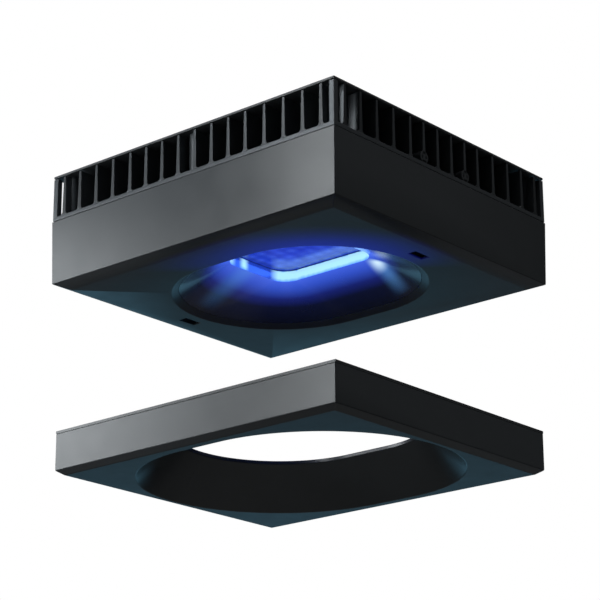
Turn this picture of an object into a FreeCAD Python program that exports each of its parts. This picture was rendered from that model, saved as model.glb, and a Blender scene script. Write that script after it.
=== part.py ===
import FreeCAD, Part
import math
import os

import Sketcher
from FreeCAD import Placement, Rotation, Vector

# Pendant LED light for a reef aquarium, with its clip-on light shade hanging below it.
# Frame: +Z up, origin in the middle of the lamp's top face, between its four hanger inserts.
# X runs along the longer side of the lamp and -Y is its front. All sizes are in millimetres.

SHEET_ROWS = [
    # alias, value, what it is
    ("lamp_len", 215.0, "lamp body along X, at the seam"),
    ("lamp_wid", 191.8, "lamp body along Y, at the seam"),
    ("seam_low", 28.0, "depth of the seam under the top face"),
    ("rim_low", 66.6, "depth of the side walls' lower edge"),
    ("floor_low", 69.93, "depth of the flat underside"),
    ("skirt_draft", 0.79, "each side wall leans in by this over its height"),
    ("skirt_wall", 2.5, "wall of the lower housing"),
    ("seam_gap", 0.4, "shadow gap between housing and heatsink"),
    ("edge_round", 0.6, "rounding of the outer corners and lower rims"),
    ("edge_in", 8.1, "width of the sloping band round the underside"),
    ("floor_wall", 2.6, "thickness of the underside plate"),
    ("straight_half", 14.7, "half the straight run of every rounded light opening"),
    ("mouth_rad", 63.2, "end radius of the light opening in the underside"),
    ("lip_in", 4.3, "inward run of the sloping lip of the light opening"),
    ("neck_len", 72.0, "lens window along X"),
    ("neck_wid", 54.0, "lens window along Y"),
    ("neck_rad", 11.0, "corner radius of the lens window"),
    ("neck_low", 51.0, "depth of the bowl's inner end"),
    ("bowl_wall", 2.3, "wall of the reflecting bowl"),
    ("guide_tall", 6.8, "height of the clear light guide over the bowl"),
    ("guide_wall", 2.5, "wall of the clear light guide"),
    ("lens_thick", 3.0, "thickness of the lens"),
    ("gasket_thick", 0.5, "lens gasket, compressed"),
    ("board_thick", 1.6, "circuit boards"),
    ("pad_thick", 0.5, "thermal pad"),
    ("pedestal_tall", 5.5, "heatsink pedestal over the light board"),
    ("slot_out", 87.3, "clip slots, from the middle of the lamp"),
    ("slot_len", 5.7, "clip slot along X"),
    ("slot_wid", 12.3, "clip slot along Y"),
    ("sink_inset", 0.3, "heatsink stands in from the housing by this"),
    ("sill_thick", 2.5, "heatsink base plate, seen as the sill of the louvres"),
    ("fin_top_low", 1.9, "depth of the fins' upper ends"),
    ("fin_root", 2.7, "fin width at the base plate"),
    ("fin_tip", 1.65, "fin width at the upper end"),
    ("fin_flare", 1.1, "flare at a fin's foot"),
    ("cover_thick", 1.3, "top cover plate"),
    ("arm_half", 18.7, "mounting arm bosses, half their distance"),
    ("arm_low", 22.4, "depth of the mounting arm bosses"),
    ("arm_boss_rad", 3.55, "outside of a mounting arm boss"),
    ("arm_hole_rad", 1.85, "bore of a mounting arm boss"),
    ("hanger_x", 90.0, "hanger inserts from the middle, along X"),
    ("hanger_y", 75.0, "hanger inserts from the middle, along Y"),
    ("hanger_hole_rad", 1.65, "tapping bore of a hanger insert"),
    ("insert_rad", 2.95, "outside of a hanger insert"),
    ("insert_tall", 9.3, "length of a hanger insert"),
    ("fan_size", 92.0, "fan frame, square"),
    ("fan_thick", 15.0, "fan frame, height"),
    ("fan_bore_rad", 43.5, "inside of the fan frame"),
    ("fan_hole_half", 41.25, "fan screws from the middle"),
    ("rotor_hub_rad", 17.0, "fan hub"),
    ("rotor_tip", 40.5, "fan blade reach"),
    ("shaft_rad", 1.5, "fan shaft"),
    ("running_gap", 0.05, "radial play of the shaft in its bearing"),
    ("screw_rad", 1.25, "shank of the small screws"),
    ("head_rad", 2.35, "head of the small screws"),
    ("head_tall", 1.1, "countersunk head depth"),
    ("press_travel", 1.0, "travel of the pairing button"),
    ("shade_len", 205.8, "shade along X"),
    ("shade_wid", 182.8, "shade along Y"),
    ("shade_top_low", 154.55, "depth of the shade's top face"),
    ("shade_rim_low", 177.4, "depth of the shade's side walls' lower edge"),
    ("shade_floor_low", 180.0, "depth of the shade's underside"),
    ("shade_edge_in", 3.9, "width of the sloping band round the shade"),
    ("shade_wall", 2.2, "wall of the shade"),
    ("shade_mouth_rad", 81.7, "end radius of the shade's lower opening"),
    ("shade_neck_rad", 59.3, "end radius of the shade's upper opening"),
    ("collar_up", 1.0, "collar stands over the shade's top face"),
    ("collar_tall", 2.2, "height of the shade's upright neck"),
    ("collar_wall", 1.6, "wall of the shade's neck"),
    ("shade_plate", 1.5, "shade's top plate"),
    ("clip_up", 5.4, "clip tongues stand over the shade's top face"),
    ("clip_len", 4.9, "clip tongue along X"),
    ("clip_wid", 11.4, "clip tongue along Y"),
]

# Louvre fins from the middle of the lamp; both halves are the same.
BAR_SPOTS_X = [6.3, 18.9, 31.5, 44.1, 57.9, 71.6, 85.2, 98.0]
BAR_SPOTS_Y = [6.3, 18.7, 30.7, 45.4, 59.7, 73.4, 86.6]

# Radial play round a small screw, and how far joined features run into each other.
PILOT_PLAY, SCREW_PLAY, BOARD_PLAY, SINK_PLAY = 0.05, 0.15, 0.2, 0.12
OVERLAP, THROUGH = 0.2, 1.0

doc = FreeCAD.newDocument("aquarium_light")
dims = doc.addObject("Spreadsheet::Sheet", "Dims")
for row, (alias, value, note) in enumerate(SHEET_ROWS, start=1):
    dims.set(f"A{row}", alias)
    dims.set(f"B{row}", str(value))
    dims.set(f"C{row}", note)
    dims.setAlias(f"B{row}", alias)
doc.recompute()

nodes = {}


class Size:
    """A length that knows its spreadsheet formula, so that sums of sizes stay parametric."""

    def __init__(self, value, formula):
        self.value = value
        self.formula = formula

    def _with(self, other, sign, value):
        other_formula = other.formula if isinstance(other, Size) else repr(float(other))
        return Size(value, f"({self.formula} {sign} {other_formula})")

    def __add__(self, other):
        return self._with(other, "+", self.value + number(other))

    def __sub__(self, other):
        return self._with(other, "-", self.value - number(other))

    def __mul__(self, other):
        return self._with(other, "*", self.value * number(other))

    def __truediv__(self, other):
        return self._with(other, "/", self.value / number(other))

    def __neg__(self):
        return Size(-self.value, f"(0 - {self.formula})")

    def __radd__(self, other):
        return self + other

    def __rmul__(self, other):
        return self * other

    def __rsub__(self, other):
        return -self + other


def size(alias):
    """The spreadsheet cell of that alias as a Size."""
    return Size(float(dims.get(alias)), f"Dims.{alias}")


def number(amount):
    """The plain number of a Size or of a number."""
    return amount.value if isinstance(amount, Size) else float(amount)


def bind(target, prop, amount):
    """Set a property, and bind it to the sheet when the amount is a Size."""
    if isinstance(amount, Size):
        target.setExpression(prop, amount.formula)
    elif "." in prop:
        target.setExpression(prop, repr(float(amount)))
    else:
        setattr(target, prop, float(amount))


def node(label, shape_object):
    """Give a finished sub-part its label, which is its file's name too."""
    shape_object.Label = label
    nodes[label] = shape_object
    return shape_object


def mirrored(spots, signs_x=(1, -1), signs_y=(1, -1)):
    """Repeat points over the chosen signs of X and Y."""
    return [(sx * x, sy * y) for x, y in spots for sx in signs_x for sy in signs_y]


# ---------------------------------------------------------------- sketches and features

def make_body(label):
    """A body that is a finished sub-part of its own."""
    return node(label, doc.addObject("PartDesign::Body", label))


def make_sketch(body, z=0.0, plane="XY_Plane"):
    """A sketch on one of the body's own origin planes, moved along its normal by z."""
    sketch = body.newObject("Sketcher::SketchObject", "Sketch")
    origin_plane = next(f for f in body.Origin.OriginFeatures if f.Role == plane)
    sketch.AttachmentSupport = [(origin_plane, "")]
    sketch.MapMode = "FlatFace"
    bind(sketch, "AttachmentOffset.Base.z", z)
    return sketch


def drive(sketch, name, index, amount):
    """Name a sketch constraint and bind it to the sheet."""
    sketch.renameConstraint(index, name)
    if isinstance(amount, Size):
        sketch.setExpression(f"Constraints.{name}", amount.formula)


def place_point(sketch, tag, geometry, vertex, x, y):
    """Fix one point of the sketch by its two distances from the origin."""
    for axis, amount in (("X", x), ("Y", y)):
        index = sketch.addConstraint(
            Sketcher.Constraint(f"Distance{axis}", -1, 1, geometry, vertex, number(amount)))
        drive(sketch, f"{tag}{axis}", index, amount)


def draw_rectangle(sketch, x0, x1, y0, y1):
    """An upright rectangle between two corners."""
    tag = f"r{sketch.GeometryCount}"
    corners = [Vector(number(x), number(y), 0) for x, y in ((x0, y0), (x1, y0), (x1, y1), (x0, y1))]
    sides = [sketch.addGeometry(Part.LineSegment(corners[i], corners[(i + 1) % 4])) for i in range(4)]
    for i in range(4):
        sketch.addConstraint(Sketcher.Constraint("Coincident", sides[i], 2, sides[(i + 1) % 4], 1))
        sketch.addConstraint(Sketcher.Constraint("Horizontal" if i % 2 == 0 else "Vertical", sides[i]))
    place_point(sketch, tag + "low", sides[0], 1, x0, y0)
    place_point(sketch, tag + "high", sides[2], 1, x1, y1)


def draw_plate(sketch, length, width):
    """A rectangle centred on the origin."""
    draw_rectangle(sketch, -length / 2, length / 2, -width / 2, width / 2)


def draw_circle(sketch, x, y, radius):
    tag = f"c{sketch.GeometryCount}"
    ring = sketch.addGeometry(Part.Circle(Vector(number(x), number(y), 0), Vector(0, 0, 1), number(radius)))
    place_point(sketch, tag + "mid", ring, 3, x, y)
    drive(sketch, tag + "rad", sketch.addConstraint(
        Sketcher.Constraint("Radius", ring, number(radius))), radius)


def draw_stadium(sketch, straight_half, radius):
    """Two half circles joined by straight runs along X, centred on the origin."""
    s, r = number(straight_half), number(radius)
    low = sketch.addGeometry(Part.LineSegment(Vector(-s, -r, 0), Vector(s, -r, 0)))
    right = sketch.addGeometry(Part.ArcOfCircle(
        Part.Circle(Vector(s, 0, 0), Vector(0, 0, 1), r), -math.pi / 2, math.pi / 2))
    high = sketch.addGeometry(Part.LineSegment(Vector(s, r, 0), Vector(-s, r, 0)))
    left = sketch.addGeometry(Part.ArcOfCircle(
        Part.Circle(Vector(-s, 0, 0), Vector(0, 0, 1), r), math.pi / 2, 3 * math.pi / 2))
    for first, second, arc_vertex in ((low, right, 1), (high, left, 1)):
        sketch.addConstraint(Sketcher.Constraint("Tangent", first, 2, second, arc_vertex))
    for first, second in ((right, high), (left, low)):
        sketch.addConstraint(Sketcher.Constraint("Tangent", first, 2, second, 1))
    place_point(sketch, "right", right, 3, straight_half, 0)
    place_point(sketch, "left", left, 3, -straight_half, 0)
    drive(sketch, "round", sketch.addConstraint(Sketcher.Constraint("Radius", right, r)), radius)


def draw_rounded(sketch, half_x, half_y, radius):
    """A rectangle with round corners, centred on the origin."""
    hx, hy, r = number(half_x), number(half_y), number(radius)
    turns = ((1, -1, -0.5), (1, 1, 0.0), (-1, 1, 0.5), (-1, -1, 1.0))
    arcs = []
    for sx, sy, start in turns:
        middle = Vector(sx * (hx - r), sy * (hy - r), 0)
        arcs.append(sketch.addGeometry(Part.ArcOfCircle(
            Part.Circle(middle, Vector(0, 0, 1), r), start * math.pi, (start + 0.5) * math.pi)))
    ends = ((Vector(hx, r - hy, 0), Vector(hx, hy - r, 0)),
            (Vector(hx - r, hy, 0), Vector(r - hx, hy, 0)),
            (Vector(-hx, hy - r, 0), Vector(-hx, r - hy, 0)),
            (Vector(r - hx, -hy, 0), Vector(hx - r, -hy, 0)))
    for i, (start, end) in enumerate(ends):
        line = sketch.addGeometry(Part.LineSegment(start, end))
        sketch.addConstraint(Sketcher.Constraint("Tangent", arcs[i], 2, line, 1))
        sketch.addConstraint(Sketcher.Constraint("Tangent", line, 2, arcs[(i + 1) % 4], 1))
    for arc in arcs[1:]:
        sketch.addConstraint(Sketcher.Constraint("Equal", arcs[0], arc))
    drive(sketch, "round", sketch.addConstraint(Sketcher.Constraint("Radius", arcs[0], r)), radius)
    place_point(sketch, "high", arcs[1], 3, half_x - radius, half_y - radius)
    place_point(sketch, "low", arcs[3], 3, radius - half_x, radius - half_y)


def add_pad(body, sketch, length, reverse=False):
    """Grow the sketch along its normal, or against it."""
    pad = body.newObject("PartDesign::Pad", "Pad")
    pad.Profile = sketch
    pad.Reversed = reverse
    bind(pad, "Length", length)
    doc.recompute()
    return pad


def add_pocket(body, sketch, depth, upward=False):
    """Cut the sketch out of the body, downward from its plane unless upward is set."""
    before = body.Shape.Volume
    pocket = body.newObject("PartDesign::Pocket", "Pocket")
    pocket.Profile = sketch
    pocket.Reversed = upward
    bind(pocket, "Length", depth)
    doc.recompute()
    if not body.Shape.Volume < before - 0.01:
        raise RuntimeError(f"{body.Label}: a pocket cuts nothing")
    return pocket


def add_loft(body, sketches, subtract=False):
    """A straight-sided loft through the sketches, added to the body or cut out of it."""
    kind = "SubtractiveLoft" if subtract else "AdditiveLoft"
    loft = body.newObject(f"PartDesign::{kind}", kind)
    loft.Profile = sketches[0]
    loft.Sections = sketches[1:]
    loft.Ruled = True
    doc.recompute()
    return loft


def add_rounding(body, radius, picks):
    """Round the edges of the body's last feature that picks() chooses."""
    base = body.Tip
    names = [f"Edge{i}" for i, edge in enumerate(base.Shape.Edges, start=1) if picks(edge)]
    rounding = body.newObject("PartDesign::Fillet", "Fillet")
    rounding.Base = (base, names)
    bind(rounding, "Radius", radius)
    doc.recompute()
    return rounding


def is_not_level_except(z):
    """A chooser of all corner edges that climb, and of the level edges at one height."""
    def picks(edge):
        heights = [vertex.Z for vertex in edge.Vertexes]
        climbs = abs(heights[0] - heights[1]) > 0.5
        return climbs or all(abs(height - number(z)) < 0.01 for height in heights)
    return picks


def add_polar(body, feature, count):
    """Repeat a feature round the body's Z axis."""
    pattern = body.newObject("PartDesign::PolarPattern", "PolarPattern")
    z_axis = next(f for f in body.Origin.OriginFeatures if f.Role == "Z_Axis")
    pattern.Originals = [feature]
    pattern.Axis = (z_axis, [""])
    pattern.Angle = 360
    pattern.Occurrences = count
    body.Tip = pattern
    doc.recompute()
    return pattern


# ---------------------------------------------------------------- Part primitives

def part_object(kind, **amounts):
    """A Part object with its sizes bound to the sheet; base and turn place it."""
    base = amounts.pop("base", (0, 0, 0))
    turn = amounts.pop("turn", Rotation())
    thing = doc.addObject(f"Part::{kind}", kind)
    for prop, amount in amounts.items():
        bind(thing, prop, amount)
    thing.Placement = Placement(Vector(*[number(b) for b in base]), turn)
    for axis, amount in zip("xyz", base):
        if isinstance(amount, Size):
            bind(thing, f"Placement.Base.{axis}", amount)
    return thing


def box(x0, x1, y0, y1, z0, z1):
    """A block between two corners."""
    return part_object("Box", Length=x1 - x0, Width=y1 - y0, Height=z1 - z0, base=(x0, y0, z0))


def block(x, y, z, length, width, tall):
    """A block centred on x and y that stands on z."""
    return part_object("Box", Length=length, Width=width, Height=tall,
                       base=(x - length / 2, y - width / 2, z))


def cylinder(x, y, z, radius, tall, turn=Rotation()):
    """A rod that grows from a point along the turned Z axis."""
    return part_object("Cylinder", Radius=radius, Height=tall, base=(x, y, z), turn=turn)


def cone(x, y, z, low_radius, high_radius, tall, turn=Rotation()):
    """A truncated cone that grows from a point along the turned Z axis."""
    return part_object("Cone", Radius1=low_radius, Radius2=high_radius, Height=tall,
                       base=(x, y, z), turn=turn)


def fuse(shapes):
    """All the shapes as one solid."""
    joined = doc.addObject("Part::MultiFuse", "Fuse")
    joined.Shapes = shapes
    return joined


def cut(base, tool):
    """The base without what the tool covers."""
    result = doc.addObject("Part::Cut", "Cut")
    result.Base = base
    result.Tool = tool
    return result


def group(label, solids):
    """Several equal pieces that share one node as separate solids."""
    compound = doc.addObject("Part::Compound", label)
    compound.Links = solids
    return node(label, compound)


def tube(x, y, z, outer, inner, tall, turn=Rotation()):
    """A straight pipe that grows from a point along the turned Z axis."""
    return cut(cylinder(x, y, z, outer, tall, turn), cylinder(x, y, z, inner, tall, turn))


UP = Rotation()
DOWN = Rotation(Vector(1, 0, 0), 180)
TO_PLUS_X = Rotation(Vector(0, 1, 0), 90)
TO_PLUS_Y = Rotation(Vector(1, 0, 0), -90)


def hex_prism(x, y, z, corner_radius, tall, turn):
    """A six-sided rod: a nut, or the key hole in a screw head."""
    prism = part_object("Prism", Circumradius=corner_radius, Height=tall, base=(x, y, z), turn=turn)
    prism.Polygon = 6
    return prism


def flat_screw(x, y, z, length, points_down=True):
    """A countersunk screw whose flat head lies level with z, standing on its point."""
    key_rad, key_deep = 1.1, 0.8
    turn = DOWN if points_down else UP
    head = cone(x, y, z, size("head_rad"), size("screw_rad"), size("head_tall"), turn)
    shank = cylinder(x, y, z, size("screw_rad"), length, turn)
    return cut(fuse([head, shank]), hex_prism(x, y, z, key_rad, key_deep, turn))


def pan_screw(x, y, z, length, points_down=True, radius=None):
    """A pan head screw whose head sits on the face at z, in the proportions of its shank."""
    radius = radius or size("screw_rad")
    head_rad, head_tall = radius * 1.85, radius * 1.3
    key_rad, key_deep = radius * 0.95, radius * 0.8
    shank_turn, head_turn = (DOWN, UP) if points_down else (UP, DOWN)
    head = cylinder(x, y, z, head_rad, head_tall, head_turn)
    shank = cylinder(x, y, z, radius, length, shank_turn)
    top = z + head_tall if points_down else z - head_tall
    return cut(fuse([head, shank]), hex_prism(x, y, top, key_rad, key_deep, shank_turn))


def countersink(x, y, z, deep=4.0):
    """Clearance for a flat_screw that points down from z."""
    head, shank = size("head_rad") + SINK_PLAY, size("screw_rad") + SINK_PLAY
    return [cone(x, y, z, head, shank, size("head_tall"), DOWN), cylinder(x, y, z, shank, deep, DOWN)]


# ---------------------------------------------------------------- shared places

lamp_len, lamp_wid = size("lamp_len"), size("lamp_wid")
seam_z = -size("seam_low")
rim_z = -size("rim_low")
floor_z = -size("floor_low")
floor_top_z = floor_z + size("floor_wall")
neck_z = -size("neck_low")
guide_top_z = neck_z + size("guide_tall")
lens_z = guide_top_z + size("gasket_thick")
lens_top_z = lens_z + size("lens_thick")
pad_z = seam_z - size("pedestal_tall") - size("pad_thick")
led_board_z = pad_z - size("board_thick")
sill_top_z = seam_z + size("sill_thick")
fin_foot_z = sill_top_z - OVERLAP
fin_top_z = -size("fin_top_low")
cover_z = -size("cover_thick")
fan_z = cover_z - size("fan_thick")
shade_top_z = -size("shade_top_low")
shade_floor_z = -size("shade_floor_low")
straight = size("straight_half")
inner_mouth_rad = size("mouth_rad") - size("lip_in")

COVER_CORNER = (99.0, 88.0)
COVER_SCREWS = mirrored([COVER_CORNER]) + [(x, 0.0) for x in (COVER_CORNER[0], -COVER_CORNER[0])] \
    + [(0.0, y) for y in (COVER_CORNER[1], -COVER_CORNER[1])]
HOUSING_SCREWS = mirrored([(37.8, 84.0), (96.0, 52.5)])
BOWL_RING, BOWL_SCREW_ANGLE = 64.6, math.pi / 6
BOWL_SCREWS = mirrored([(number(straight), BOWL_RING),
                        (number(straight) + BOWL_RING * math.cos(BOWL_SCREW_ANGLE),
                         BOWL_RING * math.sin(BOWL_SCREW_ANGLE))])
LENS_SCREWS = mirrored([(42.5, 30.2)])
CONTROL_SCREWS = [(x, y) for x in (-87.5, -58.5) for y in (-41.5, 41.5)]
CONTROL_HOLE = 1.6
SHADE_SCREWS = mirrored([(94.0, 82.5), (60.0, 83.0)])
HANGERS = [(sx * size("hanger_x"), sy * size("hanger_y")) for sx in (1, -1) for sy in (1, -1)]
FAN_CORNER = number(size("fan_hole_half"))
FAN_SCREWS = mirrored([(FAN_CORNER, FAN_CORNER)])

# The fan's floor plate, the tower on it that holds the bearing, and the bearing's foot over the floor.
FAN_FLOOR, FAN_TOWER_RAD, FAN_TOWER_TALL, BEARING_LIFT = 2.0, 4.2, 7.7, 0.2

# The rear panel: where its three fittings sit, and the wall's inner and outer face there.
INLET_X, BUTTON_X, LIGHT_X, PANEL_Z = -80.0, -60.0, -52.0, -50.0
INLET_HOLE, BUTTON_HOLE, LIGHT_HOLE = 5.7, 3.4, 1.7
PANEL_IN_Y, PANEL_OUT_Y = 92.7, 95.62


# ---------------------------------------------------------------- lower housing

def make_lower_housing():
    """The moulded skirt: leaning walls, sloping band, underside, light opening and clip slots."""
    body = make_body("lower_housing")
    top_z = seam_z - size("seam_gap")
    low_len, low_wid = lamp_len - 2 * size("skirt_draft"), lamp_wid - 2 * size("skirt_draft")
    sections = ((top_z, lamp_len, lamp_wid), (rim_z, low_len, low_wid),
                (floor_z, low_len - 2 * size("edge_in"), low_wid - 2 * size("edge_in")))
    outline = []
    for z, length, width in sections:
        outline.append(make_sketch(body, z))
        draw_plate(outline[-1], length, width)
    add_loft(body, outline)
    add_rounding(body, size("edge_round"), is_not_level_except(rim_z))

    walls = 2 * size("skirt_wall")
    bend_z, bend_inset, floor_inset = rim_z + 3.6, 1.6, 10.0
    hollow = []
    for z, inset in ((top_z, 0.0), (bend_z, bend_inset), (floor_top_z, floor_inset)):
        hollow.append(make_sketch(body, z))
        draw_plate(hollow[-1], lamp_len - walls - inset, lamp_wid - walls - inset)
    add_loft(body, hollow, subtract=True)

    boss_rad, boss_root, pilot_deep = 4.0, 0.5, 12.0
    bosses = make_sketch(body, floor_top_z - boss_root)
    for x, y in HOUSING_SCREWS:
        draw_circle(bosses, x, y, boss_rad)
    add_pad(body, bosses, top_z - floor_top_z)

    mouth = []
    for z, radius in ((floor_z, size("mouth_rad")), (floor_top_z, inner_mouth_rad)):
        mouth.append(make_sketch(body, z))
        draw_stadium(mouth[-1], straight, radius)
    add_loft(body, mouth, subtract=True)

    slots = make_sketch(body, floor_top_z)
    for side in (1, -1):
        middle = side * size("slot_out")
        draw_rectangle(slots, middle - size("slot_len") / 2, middle + size("slot_len") / 2,
                       -size("slot_wid") / 2, size("slot_wid") / 2)
    add_pocket(body, slots, size("floor_wall") + THROUGH)

    bowl_pilot_deep = 1.7
    for spots, z, deep in ((HOUSING_SCREWS, top_z, pilot_deep), (BOWL_SCREWS, floor_top_z, bowl_pilot_deep)):
        pilots = make_sketch(body, z)
        for x, y in spots:
            draw_circle(pilots, x, y, size("screw_rad") + PILOT_PLAY)
        add_pocket(body, pilots, deep)

    panel = make_sketch(body, -lamp_wid / 2, "XZ_Plane")
    for x, radius in ((INLET_X, INLET_HOLE), (BUTTON_X, BUTTON_HOLE), (LIGHT_X, LIGHT_HOLE)):
        draw_circle(panel, x, PANEL_Z, radius)
    add_pocket(body, panel, 2 * size("skirt_wall") + THROUGH, upward=True)


def make_housing_seal():
    """The thin seal that sits back in the seam between housing and heatsink."""
    outer_inset, inner_inset = 0.8, 2.2
    body = make_body("housing_seal")
    ring = make_sketch(body, seam_z)
    for inset in (outer_inset, inner_inset):
        draw_plate(ring, lamp_len - 2 * inset, lamp_wid - 2 * inset)
    add_pad(body, ring, size("seam_gap"), reverse=True)


# ---------------------------------------------------------------- optics

def make_light_bowl():
    """The glossy bowl from the underside's lip up to the lens window, with its flange."""
    body = make_body("light_bowl")
    mouth_x, mouth_y = straight + inner_mouth_rad, inner_mouth_rad
    neck_x, neck_y = size("neck_len") / 2, size("neck_wid") / 2
    wall, seat_wall = size("bowl_wall"), size("bowl_wall") + 1.2
    flange_grow, flange_thick, seat_grow, seat_thick = 9.4, 1.8, 6.0, 1.5
    corner_less, screw_long = 0.5, 3.4

    def cone_sketches(extra_low, extra_high):
        """The bowl's outline at its mouth and at the lens window, grown by two amounts."""
        low = make_sketch(body, floor_top_z)
        draw_rounded(low, mouth_x + extra_low, mouth_y + extra_low, mouth_y + extra_low - corner_less)
        high = make_sketch(body, neck_z)
        draw_rounded(high, neck_x + extra_high, neck_y + extra_high, size("neck_rad") + extra_high)
        return [low, high]

    add_loft(body, cone_sketches(wall, seat_wall))
    flange = make_sketch(body, floor_top_z)
    draw_stadium(flange, straight, inner_mouth_rad + flange_grow)
    add_pad(body, flange, flange_thick)
    seat = make_sketch(body, neck_z)
    draw_rounded(seat, neck_x + seat_grow, neck_y + seat_grow, size("neck_rad") + seat_grow)
    add_pad(body, seat, seat_thick, reverse=True)
    add_loft(body, cone_sketches(0.0, 0.0), subtract=True)
    flange_top_z = floor_top_z + flange_thick
    holes = make_sketch(body, flange_top_z)
    for x, y in BOWL_SCREWS:
        draw_circle(holes, x, y, size("screw_rad") + SCREW_PLAY)
    add_pocket(body, holes, flange_thick)
    group("bowl_screws", [pan_screw(x, y, flange_top_z, screw_long) for x, y in BOWL_SCREWS])


def rounded_ring(label, z, tall, outer_grow, inner_grow):
    """A ring of the lens window's outline, grown outward by two amounts."""
    body = make_body(label)
    ring = make_sketch(body, z)
    half_x, half_y, radius = size("neck_len") / 2, size("neck_wid") / 2, size("neck_rad")
    draw_rounded(ring, half_x + outer_grow, half_y + outer_grow, radius + outer_grow)
    add_pad(body, ring, tall)
    window = make_sketch(body, z + tall)
    draw_rounded(window, half_x + inner_grow, half_y + inner_grow, radius + inner_grow)
    add_pocket(body, window, tall)
    return body


def rounded_slab(label, z, tall, grow):
    """A plate of the lens window's outline, grown outward."""
    body = make_body(label)
    plate = make_sketch(body, z)
    draw_rounded(plate, size("neck_len") / 2 + grow, size("neck_wid") / 2 + grow, size("neck_rad") + grow)
    add_pad(body, plate, tall)
    return body


def make_optics():
    """Light guide, gasket, lens and the holder that clamps them over the light board."""
    gasket_grow, gasket_in, lens_grow, lens_play = 2.4, 0.6, 4.0, 0.3
    holder_grow, holder_lip, lug_rad, lug_tall, screw_long = 9.0, -2.5, 4.4, 3.0, 8.0
    rounded_ring("light_guide", neck_z, size("guide_tall"), size("guide_wall"), 0.0)
    rounded_ring("lens_gasket", guide_top_z, size("gasket_thick"), gasket_grow, gasket_in)
    rounded_slab("lens", lens_z, size("lens_thick"), lens_grow)

    holder = rounded_ring("lens_holder", lens_z, led_board_z - lens_z, holder_grow, holder_lip)
    pocket = make_sketch(holder, lens_top_z)
    grow = lens_grow + lens_play
    draw_rounded(pocket, size("neck_len") / 2 + grow, size("neck_wid") / 2 + grow, size("neck_rad") + grow)
    add_pocket(holder, pocket, size("lens_thick"))
    lugs = make_sketch(holder, led_board_z)
    for x, y in LENS_SCREWS:
        draw_circle(lugs, x, y, lug_rad)
    add_pad(holder, lugs, lug_tall, reverse=True)
    holes = make_sketch(holder, led_board_z)
    for x, y in LENS_SCREWS:
        draw_circle(holes, x, y, size("screw_rad") + SCREW_PLAY)
    add_pocket(holder, holes, lug_tall)
    group("lens_screws", [pan_screw(x, y, led_board_z - lug_tall, screw_long, points_down=False)
                          for x, y in LENS_SCREWS])


def drilled_plate(label, x0, x1, y0, y1, z, tall, spots, radius):
    """A flat rectangular plate with equal round holes."""
    body = make_body(label)
    outline = make_sketch(body, z)
    draw_rectangle(outline, x0, x1, y0, y1)
    add_pad(body, outline, tall)
    holes = make_sketch(body, z + tall)
    for x, y in spots:
        draw_circle(holes, x, y, radius)
    add_pocket(body, holes, tall)
    return body


def make_light_board():
    """The light board with its cluster of diodes, its plug and the thermal pad."""
    hole = size("screw_rad") + BOARD_PLAY
    board_x, board_y, pad_inset = 51.0, 38.0, 1.0
    pad_x, pad_y = board_x - pad_inset, board_y - pad_inset
    drilled_plate("led_board", -board_x, board_x, -board_y, board_y, led_board_z, size("board_thick"),
                  LENS_SCREWS, hole)
    drilled_plate("thermal_pad", -pad_x, pad_x, -pad_y, pad_y, pad_z, size("pad_thick"), LENS_SCREWS, hole)

    columns, rows, pitch_x, pitch_y = 7, 5, 8.2, 8.0
    chip, chip_tall, dome_root, dome_tip, dome_tall = 3.6, 0.7, 1.5, 0.8, 0.9
    diodes = []
    for column in range(columns):
        for line in range(rows):
            x = (column - (columns - 1) / 2) * pitch_x
            y = (line - (rows - 1) / 2) * pitch_y
            chip_z = led_board_z - chip_tall
            dome = cone(x, y, chip_z, dome_root, dome_tip, dome_tall, DOWN)
            diodes.append(fuse([block(x, y, chip_z, chip, chip, chip_tall), dome]))
    group("led_diodes", diodes)
    plug_x, plug_len, plug_wid, plug_tall = -48.05, 5.5, 14.0, 4.2
    node("led_plug", block(plug_x, 0.0, led_board_z - plug_tall, plug_len, plug_wid, plug_tall))


# ---------------------------------------------------------------- heatsink

def fin(along, middle, start, end, top_z):
    """One upright cast fin along X or Y that narrows upward, with the flare at its foot."""
    root, tip = size("fin_root"), size("fin_tip")
    turn = Rotation(Vector(1, 0, 0), 90)
    if along == "X":
        turn = Rotation(Vector(0, 0, 1), 90).multiply(turn)
        near, far = start, end
    else:
        near, far = -end, -start

    def wedge(low_z, high_z, low_width, high_width):
        """An upright slab whose width changes with its height."""
        return part_object(
            "Wedge", Xmin=middle - low_width / 2, Xmax=middle + low_width / 2,
            X2min=middle - high_width / 2, X2max=middle + high_width / 2, Ymin=low_z, Ymax=high_z,
            Zmin=near, Zmax=far, Z2min=near, Z2max=far, turn=turn)

    flare = size("fin_flare")
    return [wedge(fin_foot_z, top_z, root, tip),
            wedge(fin_foot_z, sill_top_z + flare, root + (flare + OVERLAP) * 2, root)]


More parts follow.
